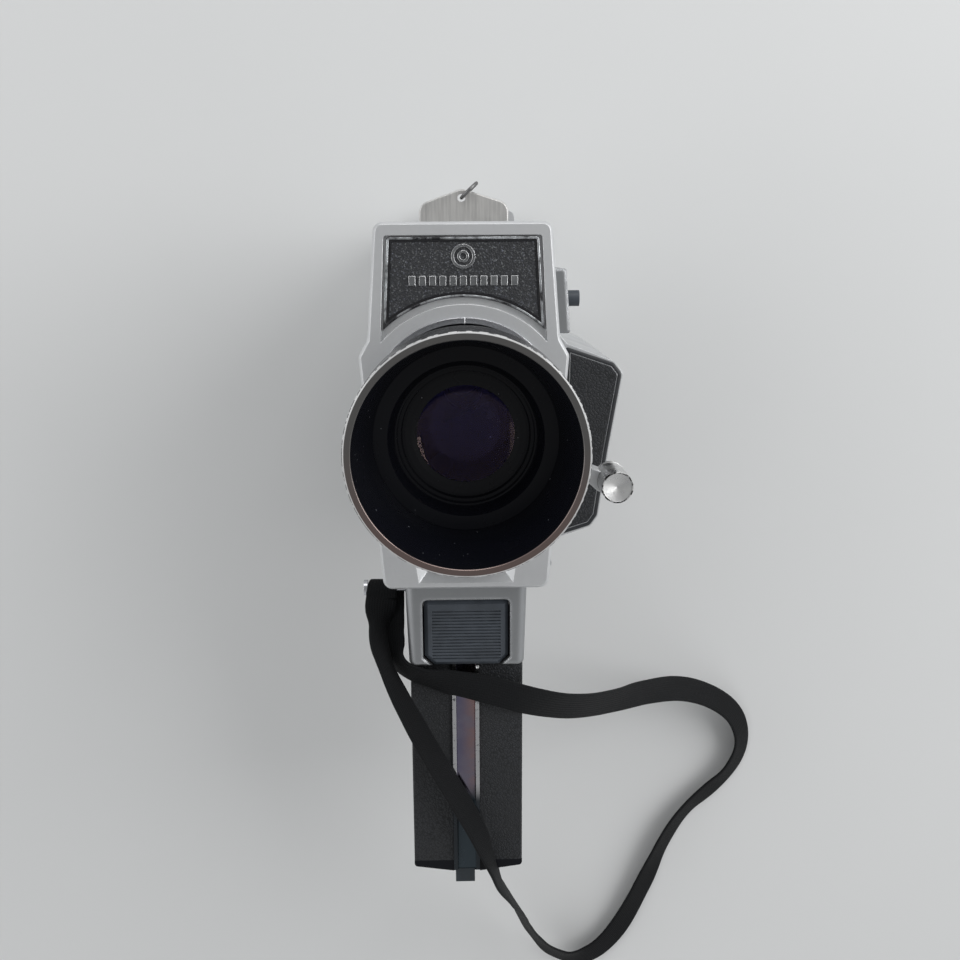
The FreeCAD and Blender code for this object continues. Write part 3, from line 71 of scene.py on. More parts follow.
# Each point of the strap's route, with how far the webbing leans from lying flat, in degrees.
STRAP_ROUTE = [
    (-0.0262, -0.0603, 0.0904, 0),
    (-0.0280, -0.0700, 0.0945, 62),
    (-0.0245, -0.0800, 0.1005, 74),
    (-0.0195, -0.0910, 0.1015, 68),
    (-0.0145, -0.1015, 0.1010, 62),
    (-0.0085, -0.1130, 0.1010, 60),
    (-0.0020, -0.1250, 0.1010, 60),
    (0.0040, -0.1365, 0.1015, 66),
    (0.0085, -0.1500, 0.1005, 84),
    (0.0130, -0.1670, 0.0870, 104),
    (0.0180, -0.1880, 0.0625, 116),
    (0.0215, -0.2110, 0.0380, 122),
    (0.0280, -0.2340, 0.0180, 130),
    (0.0380, -0.2500, 0.0090, 145),
    (0.0515, -0.2540, 0.0055, 165),
    (0.0640, -0.2430, 0.0045, 165),
    (0.0750, -0.2200, 0.0046, 155),
    (0.0820, -0.2010, 0.0048, 140),
    (0.0905, -0.1855, 0.0048, 140),
    (0.1015, -0.1755, 0.0046, 150),
    (0.1105, -0.1665, 0.0047, 140),
    (0.1150, -0.1540, 0.0050, 138),
    (0.1110, -0.1410, 0.0060, 140),
    (0.0990, -0.1305, 0.0115, 144),
    (0.0830, -0.1210, 0.0240, 152),
    (0.0650, -0.1145, 0.0430, 165),
    (0.0500, -0.1090, 0.0630, 176),
    (0.0350, -0.1010, 0.0840, 180),
    (0.0205, -0.0925, 0.0980, 180),
    (0.0075, -0.0870, 0.1005, 184),
    (-0.0040, -0.0845, 0.1005, 198),
    (-0.0145, -0.0830, 0.0995, 220),
    (-0.0215, -0.0798, 0.0965, 225),
    (-0.0235, -0.0730, 0.0920, 205),
    (-0.0240, -0.0675, 0.0890, 190),
    (-0.0240, -0.0603, 0.0868, 180),
]


# Camera and strap.

def link(thing):
    bpy.context.scene.collection.objects.link(thing)
    return thing


def add_camera():
    data = bpy.data.cameras.new("view")
    data.lens = CAMERA_LENS
    data.sensor_width = 36.0
    data.clip_start = 0.01
    camera = link(bpy.data.objects.new("view", data))
    back = (CAMERA_PLACE - CAMERA_AIM).normalized()
    right = Vector((0, 1, 0)).cross(back).normalized()
    turn = Matrix((right, back.cross(right), back)).transposed().to_4x4()
    camera.matrix_world = Matrix.Translation(CAMERA_PLACE) @ turn @ Matrix.Rotation(CAMERA_ROLL, 4, "Z")
    bpy.context.scene.camera = camera


def strap_line():
    """The points of the strap's smooth centre line, read from its spline."""
    curve = bpy.data.curves.new("strap_route", "CURVE")
    curve.dimensions = "3D"
    spline = curve.splines.new("NURBS")
    spline.points.add(len(STRAP_ROUTE) - 1)
    for point, (x, y, z, lean) in zip(spline.points, STRAP_ROUTE):
        point.co = (x, y, z, 1)
    spline.order_u = 3
    spline.use_endpoint_u = True
    spline.resolution_u = 12
    holder = link(bpy.data.objects.new("strap_route", curve))
    bpy.context.view_layer.update()
    mesh = bpy.data.meshes.new_from_object(holder)
    line = [vertex.co.copy() for vertex in mesh.vertices]
    bpy.data.objects.remove(holder)
    return line


def strap_leans(count):
    """The webbing's lean at each point of the line, in radians."""
    leans = [math.radians(lean) for x, y, z, lean in STRAP_ROUTE]
    last = len(leans) - 1
    found = []
    for step in range(count):
        along = step / (count - 1) * (last - 1)
        place = min(2 * along, along + 0.5, last)
        place = max(place, last - 2 * (last - 1 - along))
        below = min(int(place), last - 1)
        share = place - below
        share = share * share * (3 - 2 * share)
        found.append(leans[below] * (1 - share) + leans[below + 1] * share)
    return found


def webbing_section():
    """Corners across the webbing, as shares of its half width and half thickness."""
    upper = [(-1, 0), (-0.985, 0.6), (-0.93, 0.92), (-0.8, 1), (-0.4, 0.93), (0, 0.97), (0.4, 0.93), (0.8, 1),
             (0.93, 0.92), (0.985, 0.6), (1, 0)]
    return upper + [(across, -up) for across, up in reversed(upper[1:-1])]


def sweep_webbing(name, line, across, outward):
    """A flat woven strap along a line, with its length and width as UVs in metres."""
    section = webbing_section()
    count = len(section)
    points, spots, faces = [], [], []
    run = 0.0
    for index, centre in enumerate(line):
        if index:
            run += (centre - line[index - 1]).length
        for side, up in section:
            reach = side * STRAP_WIDTH / 2
            points.append(centre + across[index] * reach + outward[index] * up * STRAP_THICK / 2)
            spots.append((run, reach))
    for ring in range(len(line) - 1):
        for corner in range(count):
            after = (corner + 1) % count
            faces.append([ring * count + corner, ring * count + after, (ring + 1) * count + after,
                          (ring + 1) * count + corner])
    faces.append(list(range(count - 1, -1, -1)))
    faces.append([(len(line) - 1) * count + corner for corner in range(count)])
    piece = mesh_piece(name, points, faces)
    layer = piece.data.uv_layers.new(name="weave")
    for loop in piece.data.loops:
        layer.data[loop.index].uv = spots[loop.vertex_index]
    return piece


def mesh_piece(name, points, faces, sharp=35):
    mesh = bpy.data.meshes.new(name)
    mesh.from_pydata([tuple(point) for point in points], [], faces)
    mesh.validate()
    mesh.update()
    mesh.shade_smooth()
    mesh.set_sharp_from_angle(angle=math.radians(sharp))
    return link(bpy.data.objects.new(name, mesh))


def add_strap():
    """The wrist strap, and its sewn loop round the post."""
    line = strap_line()
    leans = strap_leans(len(line))
    across, outward = [], []
    for index, lean in enumerate(leans):
        ahead = line[min(index + 1, len(line) - 1)] - line[max(index - 1, 0)]
        ahead.normalize()
        up = (Vector((0, 0, 1)) - ahead * ahead.z).normalized()
        side = ahead.cross(up)
        lean += 0.05 * noise.noise(line[index] * 70)
        across.append(side * math.cos(lean) + up * math.sin(lean))
        outward.append(across[-1].cross(ahead).normalized())
    strap = sweep_webbing("strap_webbing", line, across, outward)
    loop = add_strap_loop(line[0], line[-1])
    for piece in (strap, loop):
        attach(piece, "camera")
    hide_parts("wrist_strap")
    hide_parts("strap_eye")
    return strap, loop


def add_strap_loop(start, end):
    """The strap's two ends, sewn into one loop round the post."""
    low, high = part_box("strap_eye")
    post = (low + high) / 2
    turns = 20
    line, across, outward = [], [], []
    for step in range(turns + 1):
        turn = math.radians(115 - 230 * step / turns)
        away = Vector((0, math.cos(turn), math.sin(turn)))
        middle = start.x + (end.x - start.x) * step / turns
        line.append(Vector((middle, post.y, post.z)) + away * LOOP_RADIUS)
        outward.append(away)
    line = [start.copy()] + line + [end.copy()]
    outward = [Vector((0, 0, 1))] + outward + [Vector((0, 0, -1))]
    across = [Vector((-1, 0, 0))] * len(line)
    return sweep_webbing("strap_loop", line, across, outward)


# Materials.

class Look:
    """One material being made: a Principled shader and the nodes that drive it."""

    def __init__(self, name, **values):
        self.material = bpy.data.materials.new(name)
        self.material.use_nodes = True
        self.tree = self.material.node_tree
        self.shader = self.tree.nodes["Principled BSDF"]
        for socket, value in values.items():
            self.shader.inputs[socket.replace("_", " ")].default_value = value
        self.place = self.node("ShaderNodeTexCoord").outputs["Object"]

    def node(self, kind, inputs=None, **settings):
        made = self.tree.nodes.new(kind)
        for key, value in settings.items():
            setattr(made, key, value)
        for socket, value in (inputs or {}).items():
            self.feed(made.inputs[socket], value)
        return made

    def feed(self, socket, value):
        if isinstance(value, bpy.types.NodeSocket):
            self.tree.links.new(value, socket)
        else:
            socket.default_value = value

    def drive(self, socket, value):
        self.feed(self.shader.inputs[socket], value)

    def maths(self, kind, first, second=0.0):
        return self.node("ShaderNodeMath", {0: first, 1: second}, operation=kind).outputs[0]

    def stretched(self, across, up, forward):
        """The place, scaled along each axis, for grain that runs one way."""
        scale = (across, up, forward)
        return self.node("ShaderNodeMapping", {"Vector": self.place, "Scale": scale}).outputs[0]

    def noise(self, scale, detail=3.0, rough=0.55, where=None):
        inputs = {"Vector": where or self.place, "Scale": scale, "Detail": detail, "Roughness": rough}
        return self.node("ShaderNodeTexNoise", inputs).outputs["Fac"]

    def cells(self, scale, feature="F1", output="Distance", where=None):
        return self.node("ShaderNodeTexVoronoi", {"Vector": where or self.place, "Scale": scale},
                         feature=feature).outputs[output]

    def ramp(self, value, start, end, low=0.0, high=1.0):
        inputs = {"Value": value, "From Min": start, "From Max": end, "To Min": low, "To Max": high}
        return self.node("ShaderNodeMapRange", inputs, interpolation_type="SMOOTHSTEP").outputs[0]

    def blend(self, share, first, second):
        mixed = self.node("ShaderNodeMix", {0: share}, data_type="RGBA")
        for socket, value in ((6, first), (7, second)):
            self.feed(mixed.inputs[socket], (*value, 1) if isinstance(value, tuple) else value)
        return mixed.outputs[2]

    def axes(self):
        split = self.node("ShaderNodeSeparateXYZ", {0: self.place})
        return split.outputs[0], split.outputs[1], split.outputs[2]

    def radius(self, centre=(0.0, 0.0)):
        across, up, forward = self.axes()
        across = self.maths("SUBTRACT", across, centre[0])
        up = self.maths("SUBTRACT", up, centre[1])
        squares = self.maths("ADD", self.maths("MULTIPLY", across, across), self.maths("MULTIPLY", up, up))
        return self.maths("SQRT", squares)

    def soft_edges(self, radius):
        """A normal that rounds sharp edges, and where those edges are."""
        rounded = self.node("ShaderNodeBevel", {"Radius": radius}, samples=6).outputs[0]
        flat = self.node("ShaderNodeNewGeometry").outputs["Normal"]
        product = self.node("ShaderNodeVectorMath", {0: rounded, 1: flat}, operation="DOT_PRODUCT")
        return rounded, self.ramp(self.maths("SUBTRACT", 1.0, product.outputs["Value"]), 0.01, 0.16)

    def bump(self, height, depth, strength=1.0, under=None):
        made = self.node("ShaderNodeBump", {"Height": height, "Distance": depth, "Strength": strength})
        if under is not None:
            self.feed(made.inputs["Normal"], under)
        self.drive("Normal", made.outputs[0])
        return made.outputs[0]


def satin_metal(name, colour, rough, metallic=0.85, peel=2600, depth=0.000012, edge=0.00035, chips=0.62):
    """Painted or plated metal: fine orange peel, faint smudges, and edges polished by handling."""
    look = Look(name, Metallic=metallic)
    normal, edges = look.soft_edges(edge)
    smudge = look.noise(55, 4)
    mottle = look.noise(900, 3)
    dark = tuple(part * 0.86 for part in colour)
    bright = tuple(min(1.0, part * 1.25) for part in colour)
    base = look.blend(look.ramp(smudge, 0.3, 0.75), colour, dark)
    base = look.blend(look.ramp(mottle, 0.5, 0.8, 0, 0.35), base, dark)
    worn = look.maths("MULTIPLY", edges, look.ramp(look.noise(420, 4), chips - 0.3, chips))
    look.drive("Base Color", look.blend(worn, base, bright))
    gloss = look.ramp(smudge, 0.2, 0.8, rough - 0.05, rough + 0.07)
    look.drive("Roughness", look.maths("SUBTRACT", gloss, look.maths("MULTIPLY", worn, 0.12)))
    look.bump(look.noise(peel, 2), depth, 0.5, normal)
    return look.material


def leather(name, grain=1150):
    """Black leatherette: pebbled grain with creases between, dull in the creases."""
    look = Look(name, Specular_IOR_Level=0.45)
    warp = look.noise(260, 3)
    bend = look.node("ShaderNodeTexNoise", {"Vector": look.place, "Scale": 420.0, "Detail": 2.0})
    shift = look.node("ShaderNodeVectorMath", {0: bend.outputs["Color"], 3: 0.0011}, operation="SCALE")
    moved = {0: look.place, 1: shift.outputs[0]}
    where = look.node("ShaderNodeVectorMath", moved, operation="ADD").outputs[0]
    creases = look.ramp(look.cells(grain, "DISTANCE_TO_EDGE", where=where), 0.0, 0.22)
    fine = look.noise(5200, 3)
    height = look.maths("ADD", creases, look.maths("MULTIPLY", fine, 0.35))
    height = look.maths("ADD", height, look.maths("MULTIPLY", warp, 0.8))
    tone = look.blend(creases, (0.006, 0.007, 0.008), (0.020, 0.022, 0.026))
    rubbed = look.ramp(look.noise(38, 3), 0.35, 0.75)
    look.drive("Base Color", look.blend(rubbed, tone, (0.013, 0.014, 0.016)))
    look.drive("Roughness", look.ramp(creases, 0, 1, 0.72, 0.47))
    look.bump(height, 0.00011, 0.85)
    return look.material


def gloss_black(name, rough=0.16, dust=0.5, shine=0.5):
    """Black enamel with a few specks of dust and faint wiping marks."""
    look = Look(name, Specular_IOR_Level=shine)
    specks = look.ramp(look.cells(650), 0.10, 0.055)
    chosen = look.ramp(look.noise(330, 1), 0.62, 0.66)
    specks = look.maths("MULTIPLY", look.maths("MULTIPLY", specks, chosen), dust)
    look.drive("Base Color", look.blend(specks, (0.0045, 0.005, 0.0075), (0.42, 0.44, 0.48)))
    wipe = look.noise(90, 5)
    look.drive("Roughness", look.maths("ADD", look.ramp(wipe, 0.3, 0.8, rough, rough + 0.10),
                                       look.maths("MULTIPLY", specks, 0.5)))
    look.bump(look.noise(1500, 3), 0.000004, 0.5)
    return look


def hood_black(name):
    """The hood: black enamel, worn through to bare metal on its rim. The bare rim has a painted brown
    reflection on its lower side, and a painted highlight over the polished metal of its outer edge.
    """
    look = gloss_black(name, 0.20, 0.75, 0.16)
    across, up, forward = look.axes()
    radius = look.radius()
    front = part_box("lens_hood")[1].z
    land = look.maths("MULTIPLY", look.ramp(forward, front - 0.45 * MM, front - 0.3 * MM),
                      look.ramp(radius, 26.02 * MM, 26.12 * MM))
    near = look.maths("MULTIPLY", look.ramp(forward, front - 1.1 * MM, front - 0.5 * MM),
                      look.ramp(radius, 26.9 * MM, 27.4 * MM))
    chips = look.maths("MULTIPLY", near, look.ramp(look.noise(700, 4), 0.5, 0.53))
    bare = look.maths("MAXIMUM", land, chips)
    edge = look.ramp(radius, 27.45 * MM, 27.6 * MM)
    nicks = look.ramp(look.noise(520, 5, 0.7), 0.70, 0.74)
    # Painted reflection: the bare rim turns brown towards its lower side.
    painted_reflection_below = look.ramp(up, 8 * MM, -20 * MM)
    metal = look.blend(painted_reflection_below, (0.20, 0.195, 0.19), (0.25, 0.19, 0.175))
    # Painted highlight: the rim's outer edge is brightened over its polished metal.
    metal = look.blend(look.maths("MULTIPLY", edge, 0.85), metal, (0.86, 0.86, 0.86))
    metal = look.blend(look.maths("MULTIPLY", nicks, 0.8), metal, (0.80, 0.80, 0.78))
    old = look.shader.inputs["Base Color"].links[0].from_socket
    look.drive("Base Color", look.blend(bare, old, metal))
    rough = look.shader.inputs["Roughness"].links[0].from_socket
    look.drive("Roughness", look.node("ShaderNodeMix", {0: bare, 2: rough, 3: 0.27}).outputs[0])
    look.drive("Metallic", bare)
    return look.material


def crinkle(name):
    """Black crinkle finish, its sparkle painted into the colour as pale glints."""
    look = Look(name, Specular_IOR_Level=0.6)
    grains = look.cells(3400, output="Color")
    pick = look.node("ShaderNodeSeparateColor", {0: grains})
    # Painted glints: a few cells of the crinkle are coloured pale grey.
    painted_glint = look.ramp(pick.outputs[0], 0.80, 0.97)
    tint = look.blend(pick.outputs[1], (0.12, 0.13, 0.17), (0.17, 0.18, 0.17))
    look.drive("Base Color", look.blend(look.maths("MULTIPLY", painted_glint, 0.6), (0.010, 0.011, 0.014), tint))
    look.drive("Roughness", look.ramp(pick.outputs[2], 0.1, 0.9, 0.30, 0.62))
    height = look.maths("ADD", look.noise(2600, 4, 0.65), look.maths("MULTIPLY", look.cells(1900), 0.9))
    look.bump(height, 0.00013, 0.95)
    return look.material


def worn_gloss(name, level, fade):
    """Black gloss whose raised crests, from level upwards, are rubbed to bright metal."""
    look = Look(name, Specular_IOR_Level=0.7)
    across, up, forward = look.axes()
    crest = look.ramp(forward, level, level + fade)
    rubbed = look.maths("MULTIPLY", crest, look.ramp(look.noise(160, 5, 0.7), 0.40, 0.62))
    look.drive("Base Color", look.blend(rubbed, (0.012, 0.012, 0.014), (0.62, 0.64, 0.66)))
    look.drive("Metallic", look.maths("MULTIPLY", rubbed, 0.9))
    look.drive("Roughness", look.ramp(look.noise(500, 3), 0.3, 0.7, 0.10, 0.24))
    look.bump(look.noise(800, 2), 0.00001, 0.4)
    return look.material


def bright_metal(name, colour=(0.62, 0.63, 0.66), rough=0.16, brushed=None):
    """Polished or brushed metal with hairline scratches and a slight haze."""
    look = Look(name, Metallic=1.0)
    normal, edges = look.soft_edges(0.00025)
    grain = look.stretched(*brushed) if brushed else look.place
    lines = look.noise(1400 if brushed else 700, 4, 0.6, grain)
    haze = look.noise(70, 4)
    dark = tuple(part * 0.68 for part in colour)
    base = look.blend(look.ramp(lines, 0.35, 0.7, 0, 0.6), colour, dark)
    base = look.blend(look.ramp(haze, 0.45, 0.85, 0, 0.5), base, dark)
    look.drive("Base Color", look.blend(edges, base, (0.85, 0.85, 0.86)))
    look.drive("Roughness", look.ramp(haze, 0.2, 0.8, rough, rough + 0.14))
    look.bump(lines, 0.000014 if brushed else 0.000004, 0.6, normal)
    return look.material


def trim_metal(name):
    """The strip: a chrome floor between silver rims. The floor carries a painted purple and pink reflection,
    and both are less metallic towards the grip's foot and painted dark there, as shadow and dark reflection.
    """
    look = Look(name)
    normal, edges = look.soft_edges(0.0002)
    across, up, forward = look.axes()
    high = look.ramp(forward, 96.5 * MM, 96.8 * MM)
    # Painted shadow and dark reflection towards the grip's foot, on the floor and the rims alike.
    painted_reflection_below = look.ramp(up, -0.1200, -0.1270)
    # Painted reflection: the floor is tinted purple on one side and pink on the other.
    painted_reflection_across = look.ramp(across, -2.8 * MM, 2.2 * MM)
    floor = look.blend(painted_reflection_across, (0.17, 0.16, 0.25), (0.34, 0.22, 0.21))
    floor = look.blend(look.ramp(look.noise(120, 3), 0.3, 0.7), floor, (0.24, 0.22, 0.28))
    floor = look.blend(painted_reflection_below, floor, (0.045, 0.062, 0.075))
    rims = look.blend(look.ramp(look.noise(900, 4), 0.60, 0.68), (0.66, 0.66, 0.67), (0.22, 0.22, 0.23))
    rims = look.blend(painted_reflection_below, rims, (0.030, 0.036, 0.042))
    look.drive("Base Color", look.blend(high, floor, rims))
    look.drive("Metallic", look.ramp(painted_reflection_below, 0, 1, 1.0, 0.55))
    look.drive("Roughness", look.ramp(look.noise(200, 4), 0.3, 0.8, 0.14, 0.32))
    look.bump(look.noise(300, 2), 0.00001, 0.4, normal)
    return look.material


def plastic(name, colour, rough=0.42, grain=1800, depth=0.000015):
    """Moulded plastic with a fine texture and lighter rubbed edges."""
    look = Look(name, Specular_IOR_Level=0.5)
    normal, edges = look.soft_edges(0.0003)
    pale = tuple(min(1.0, part * 1.7 + 0.02) for part in colour)
    dark = tuple(part * 0.7 for part in colour)
    base = look.blend(look.ramp(look.noise(140, 4), 0.3, 0.75), colour, dark)
    rubbed = look.maths("MULTIPLY", edges, look.ramp(look.noise(300, 3), 0.35, 0.65))
    look.drive("Base Color", look.blend(look.maths("MULTIPLY", rubbed, 0.7), base, pale))
    look.drive("Roughness", look.ramp(look.noise(260, 3), 0.3, 0.75, rough, rough + 0.14))
    look.bump(look.noise(grain, 3), depth, 0.6, normal)
    return look.material


def rubber(name):
    look = Look(name, Specular_IOR_Level=0.3)
    dust = look.ramp(look.noise(700, 5, 0.7), 0.55, 0.8, 0, 0.3)
    look.drive("Base Color", look.blend(dust, (0.016, 0.016, 0.017), (0.09, 0.09, 0.085)))
    look.drive("Roughness", look.ramp(look.noise(90, 3), 0.3, 0.7, 0.66, 0.85))
    look.bump(look.noise(2400, 3), 0.00003, 0.7)
    return look.material


def coated_glass(name, tint, film):
    """Lens glass with an anti-reflection film, a little dust and a faint wiping haze."""
    look = Look(name, Transmission_Weight=1.0, IOR=1.62, Thin_Film_Thickness=film, Thin_Film_IOR=1.38)
    specks = look.ramp(look.cells(900), 0.09, 0.05)
    specks = look.maths("MULTIPLY", specks, look.ramp(look.noise(400, 1), 0.66, 0.7))
    look.drive("Base Color", look.blend(specks, tint, (0.7, 0.7, 0.7)))
    look.drive("Roughness", look.ramp(look.noise(150, 5), 0.4, 0.9, 0.0, 0.05))
    return look.material


def window_glass(name):
    """The light meter's window: a grey lens sheet, ribbed like a small honeycomb."""
    look = Look(name, Specular_IOR_Level=0.6)
    ribs = look.cells(620, "DISTANCE_TO_EDGE")
    look.drive("Base Color", look.blend(look.ramp(ribs, 0, 0.3), (0.10, 0.11, 0.11), (0.26, 0.28, 0.28)))
    look.drive("Roughness", look.ramp(look.noise(200, 3), 0.3, 0.7, 0.12, 0.28))
    look.bump(look.ramp(ribs, 0, 0.4), 0.00012, 0.7)
    return look.material


def webbing(name):
    """Flat woven nylon: cords along the strap, crossed by fine picks."""
    look = Look(name, Specular_IOR_Level=0.12, Sheen_Weight=0.03, Sheen_Roughness=0.5)
    spot = look.node("ShaderNodeUVMap", uv_map="weave").outputs[0]
    split = look.node("ShaderNodeSeparateXYZ", {0: spot})
    along, across = split.outputs[0], split.outputs[1]
    cords = look.maths("ABSOLUTE", look.maths("SINE", look.maths("MULTIPLY", across, math.pi / 0.00085)))
    shifted = look.maths("ADD", along, look.maths("MULTIPLY", across, 0.5))
    picks = look.maths("ABSOLUTE", look.maths("SINE", look.maths("MULTIPLY", shifted, math.pi / 0.0006)))
    height = look.maths("ADD", look.maths("MULTIPLY", cords, 0.6), look.maths("MULTIPLY", picks, 0.4))
    fuzz = look.noise(2600, 4, 0.7)
    look.drive("Base Color", look.blend(look.maths("MULTIPLY", height, fuzz), (0.004, 0.0045, 0.005),
                                        (0.011, 0.0115, 0.013)))
    look.drive("Roughness", look.ramp(fuzz, 0.3, 0.8, 0.62, 0.88))
    look.bump(look.maths("ADD", height, look.maths("MULTIPLY", fuzz, 0.5)), 0.00016, 0.8)
    return look.material


def spun_metal(name, centre):
    """Turned aluminium: fine rings about the knob's own axis, dark nicks on its rim."""
    look = Look(name, Metallic=1.0, Anisotropic=0.6)
    radius = look.radius(centre)
    rings = look.maths("SINE", look.maths("MULTIPLY", radius, 2 * math.pi / 0.00011))
    rim = look.ramp(radius, 3.45 * MM, 3.6 * MM)
    level = look.axes()[2]
    top = look.ramp(level, 152.6 * MM, 152.9 * MM)
    on_rim = look.maths("MULTIPLY", rim, top)
    nicks = look.maths("MULTIPLY", on_rim, look.ramp(look.noise(750, 3), 0.46, 0.54))
    base = look.blend(look.ramp(look.noise(200, 4), 0.35, 0.7), (0.80, 0.80, 0.79), (0.66, 0.66, 0.66))
    look.drive("Base Color", look.blend(nicks, base, (0.05, 0.05, 0.05)))
    look.drive("Roughness", look.ramp(look.noise(300, 3), 0.3, 0.7, 0.24, 0.36))
    look.bump(rings, 0.000003, 0.5)
    return look.material


def board(name):
    look = Look(name, Specular_IOR_Level=0.4)
    weave = look.noise(900, 3, where=look.stretched(1, 1, 8))
    look.drive("Base Color", look.blend(look.ramp(weave, 0.3, 0.7), (0.20, 0.11, 0.045), (0.30, 0.18, 0.08)))
    look.drive("Roughness", look.ramp(weave, 0.3, 0.7, 0.4, 0.6))
    look.bump(weave, 0.00002, 0.6)
    return look.material


def cell_sleeve(name):
    """A battery's printed sleeve: black over a copper band, with no lettering."""
    look = Look(name, Metallic=0.6)
    across, up, forward = look.axes()
    band = look.ramp(up, -104.5 * MM, -104 * MM)
    tip = look.ramp(up, -141.4 * MM, -141.2 * MM)
    base = look.blend(band, (0.018, 0.018, 0.02), (0.55, 0.28, 0.10))
    base = look.blend(look.ramp(look.noise(90, 4), 0.3, 0.7, 0, 0.3), base, (0.12, 0.11, 0.10))
    look.drive("Base Color", look.blend(tip, (0.7, 0.7, 0.68), base))
    look.drive("Roughness", look.ramp(look.noise(160, 3), 0.3, 0.7, 0.22, 0.36))
    look.bump(look.noise(700, 2), 0.00001, 0.4)
    return look.material


def floor_look():
    look = Look("pale_floor", Specular_IOR_Level=0.25)
    look.drive("Base Color", look.blend(look.noise(3, 3), (0.64, 0.65, 0.65), (0.69, 0.695, 0.695)))
    look.drive("Roughness", look.ramp(look.noise(20, 3), 0.3, 0.7, 0.5, 0.6))
    return look.material


# Pieces that are finer than their CAD nodes.

def turned(name, profile, centre=(0.0, 0.0), steps=96, sharp=35):
    """A closed profile of (radius, level) corners, turned about a vertical axis."""
    points, faces = [], []
    count = len(profile)
    for step in range(steps):
        turn = 2 * math.pi * step / steps
        for radius, level in profile:
            points.append((centre[0] + radius * math.cos(turn), centre[1] + radius * math.sin(turn), level))
    for step in range(steps):
        after = (step + 1) % steps
        for corner in range(count - 1):
            faces.append([step * count + corner, after * count + corner, after * count + corner + 1,
                          step * count + corner + 1])
    faces.append([step * count for step in reversed(range(steps))])
    faces.append([step * count + count - 1 for step in range(steps)])
    return mesh_piece(name, points, faces, sharp)


def rounded_outline(corners, radii):
    """A closed outline with an arc at each corner."""
    outline = []
    count = len(corners)
    for index, corner in enumerate(corners):
        here = Vector(corner)
        back = (Vector(corners[index - 1]) - here).normalized()
        ahead = (Vector(corners[(index + 1) % count]) - here).normalized()
        half = math.acos(max(-1, min(1, back.dot(ahead)))) / 2
        reach = radii[index] / math.tan(half)
        centre = here + (back + ahead).normalized() * (radii[index] / math.sin(half))
        start, end = here + back * reach - centre, here + ahead * reach - centre
        sweep = start.angle_signed(end)
        for step in range(CORNER_STEPS + 1):
            turn = -sweep * step / CORNER_STEPS
            outline.append(centre + Matrix.Rotation(turn, 2) @ start)
    return outline


def inset(outline, distance):
    """The outline moved inwards. It runs anticlockwise."""
    moved = []
    count = len(outline)
    for index, point in enumerate(outline):
        back = (point - outline[index - 1]).normalized()
        ahead = (outline[(index + 1) % count] - point).normalized()
        normal = Vector((-(back.y + ahead.y), back.x + ahead.x)).normalized()
        stretch = max(0.35, normal.dot(Vector((-back.y, back.x))))
        moved.append(point + normal * distance / stretch)
    return moved


def rounded_inset(corners, radii, distance):
    """Sharp corners moved inwards and then rounded, so that a small arc never folds over itself."""
    return rounded_outline(inset([Vector(corner) for corner in corners], distance),
                           [max(radius - distance, 0.15 * MM) for radius in radii])


def framed_panel(name, outline_at, back, profile, sharp=50):
    """A panel whose border follows a profile of (inset, level), with a flat field inside it."""
    points, faces = [], []
    rings = [(profile[0][0], back)] + profile
    for distance, level in rings:
        points += [(point.x, point.y, level) for point in outline_at(distance)]
    count = len(outline_at(0))
    for ring in range(len(rings) - 1):
        for corner in range(count):
            after = (corner + 1) % count
            faces.append([ring * count + corner, ring * count + after, (ring + 1) * count + after,
                          (ring + 1) * count + corner])
    faces.append([corner for corner in reversed(range(count))])
    faces.append([(len(rings) - 1) * count + corner for corner in range(count)])
    piece = mesh_piece(name, points, faces, sharp)
    split_ends(piece.data)
    return piece


def split_ends(mesh):
    """Cuts each many-sided end face into triangles, so that a hollow outline fills properly."""
    work = bmesh.new()
    work.from_mesh(mesh)
    bmesh.ops.triangulate(work, faces=[face for face in work.faces if len(face.verts) > 4])
    work.to_mesh(mesh)
    work.free()


def add_nameplate():
    """A crinkle field inside a glossy border with two fine ribs."""
    low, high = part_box("nameplate")
    def outline_at(distance):
        return nameplate_outline(high, distance)

    top = high.z
    profile = [(0.0, top - 0.35 * MM), (0.12 * MM, top - 0.1 * MM), (0.3 * MM, top), (0.62 * MM, top),
               (0.8 * MM, top - 0.12 * MM), (0.9 * MM, top - 0.34 * MM), (1.08 * MM, top - 0.34 * MM),
               (1.16 * MM, top - 0.2 * MM), (1.34 * MM, top - 0.2 * MM), (1.45 * MM, top - 0.5 * MM)]
    border = framed_panel("nameplate_border", outline_at, low.z, profile)
    border.data.materials.append(worn_gloss("border_gloss", top - 0.13 * MM, 0.1 * MM))
    field = framed_panel("nameplate_field", outline_at, top - 0.9 * MM,
                         [(1.42 * MM, top - 0.49 * MM), (1.57 * MM, top - 0.45 * MM)], FLAT_FIELD)
    field.data.materials.append(crinkle("crinkle_black"))
    for piece in (border, field):
        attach(piece, "camera")
    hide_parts("nameplate")


def nameplate_outline(high, distance):
    """Leaning sides with rounded top corners, over an arc round the lens collar, moved inwards."""
    arc = NAMEPLATE_ARC + distance
    foot = Vector((22.31, 23.5)) * MM
    head = Vector((high.x - 1.82 * MM, high.y))
    foot, head = inset([foot, head, Vector((-head.x, head.y)), Vector((-foot.x, foot.y))], distance)[:2]
    side = (foot - head).normalized()
    nearest = -head.dot(side)
    foot = head + side * (nearest - math.sqrt(arc * arc - (head + side * nearest).length_squared))
    corner = max(NAMEPLATE_CORNER - distance, 0.2 * MM)
    sides = rounded_outline([foot, head, Vector((-head.x, head.y)), Vector((-foot.x, foot.y))],
                            [SHARP_CORNER, corner, corner, SHARP_CORNER])
    sides = sides[CORNER_STEPS + 1:-CORNER_STEPS - 1]
    start, end = math.atan2(foot.y, -foot.x), math.atan2(foot.y, foot.x)
    steps = 40
    turns = [start + (end - start) * step / steps for step in range(steps + 1)]
    return sides + [Vector((math.cos(turn), math.sin(turn))) * arc for turn in turns]


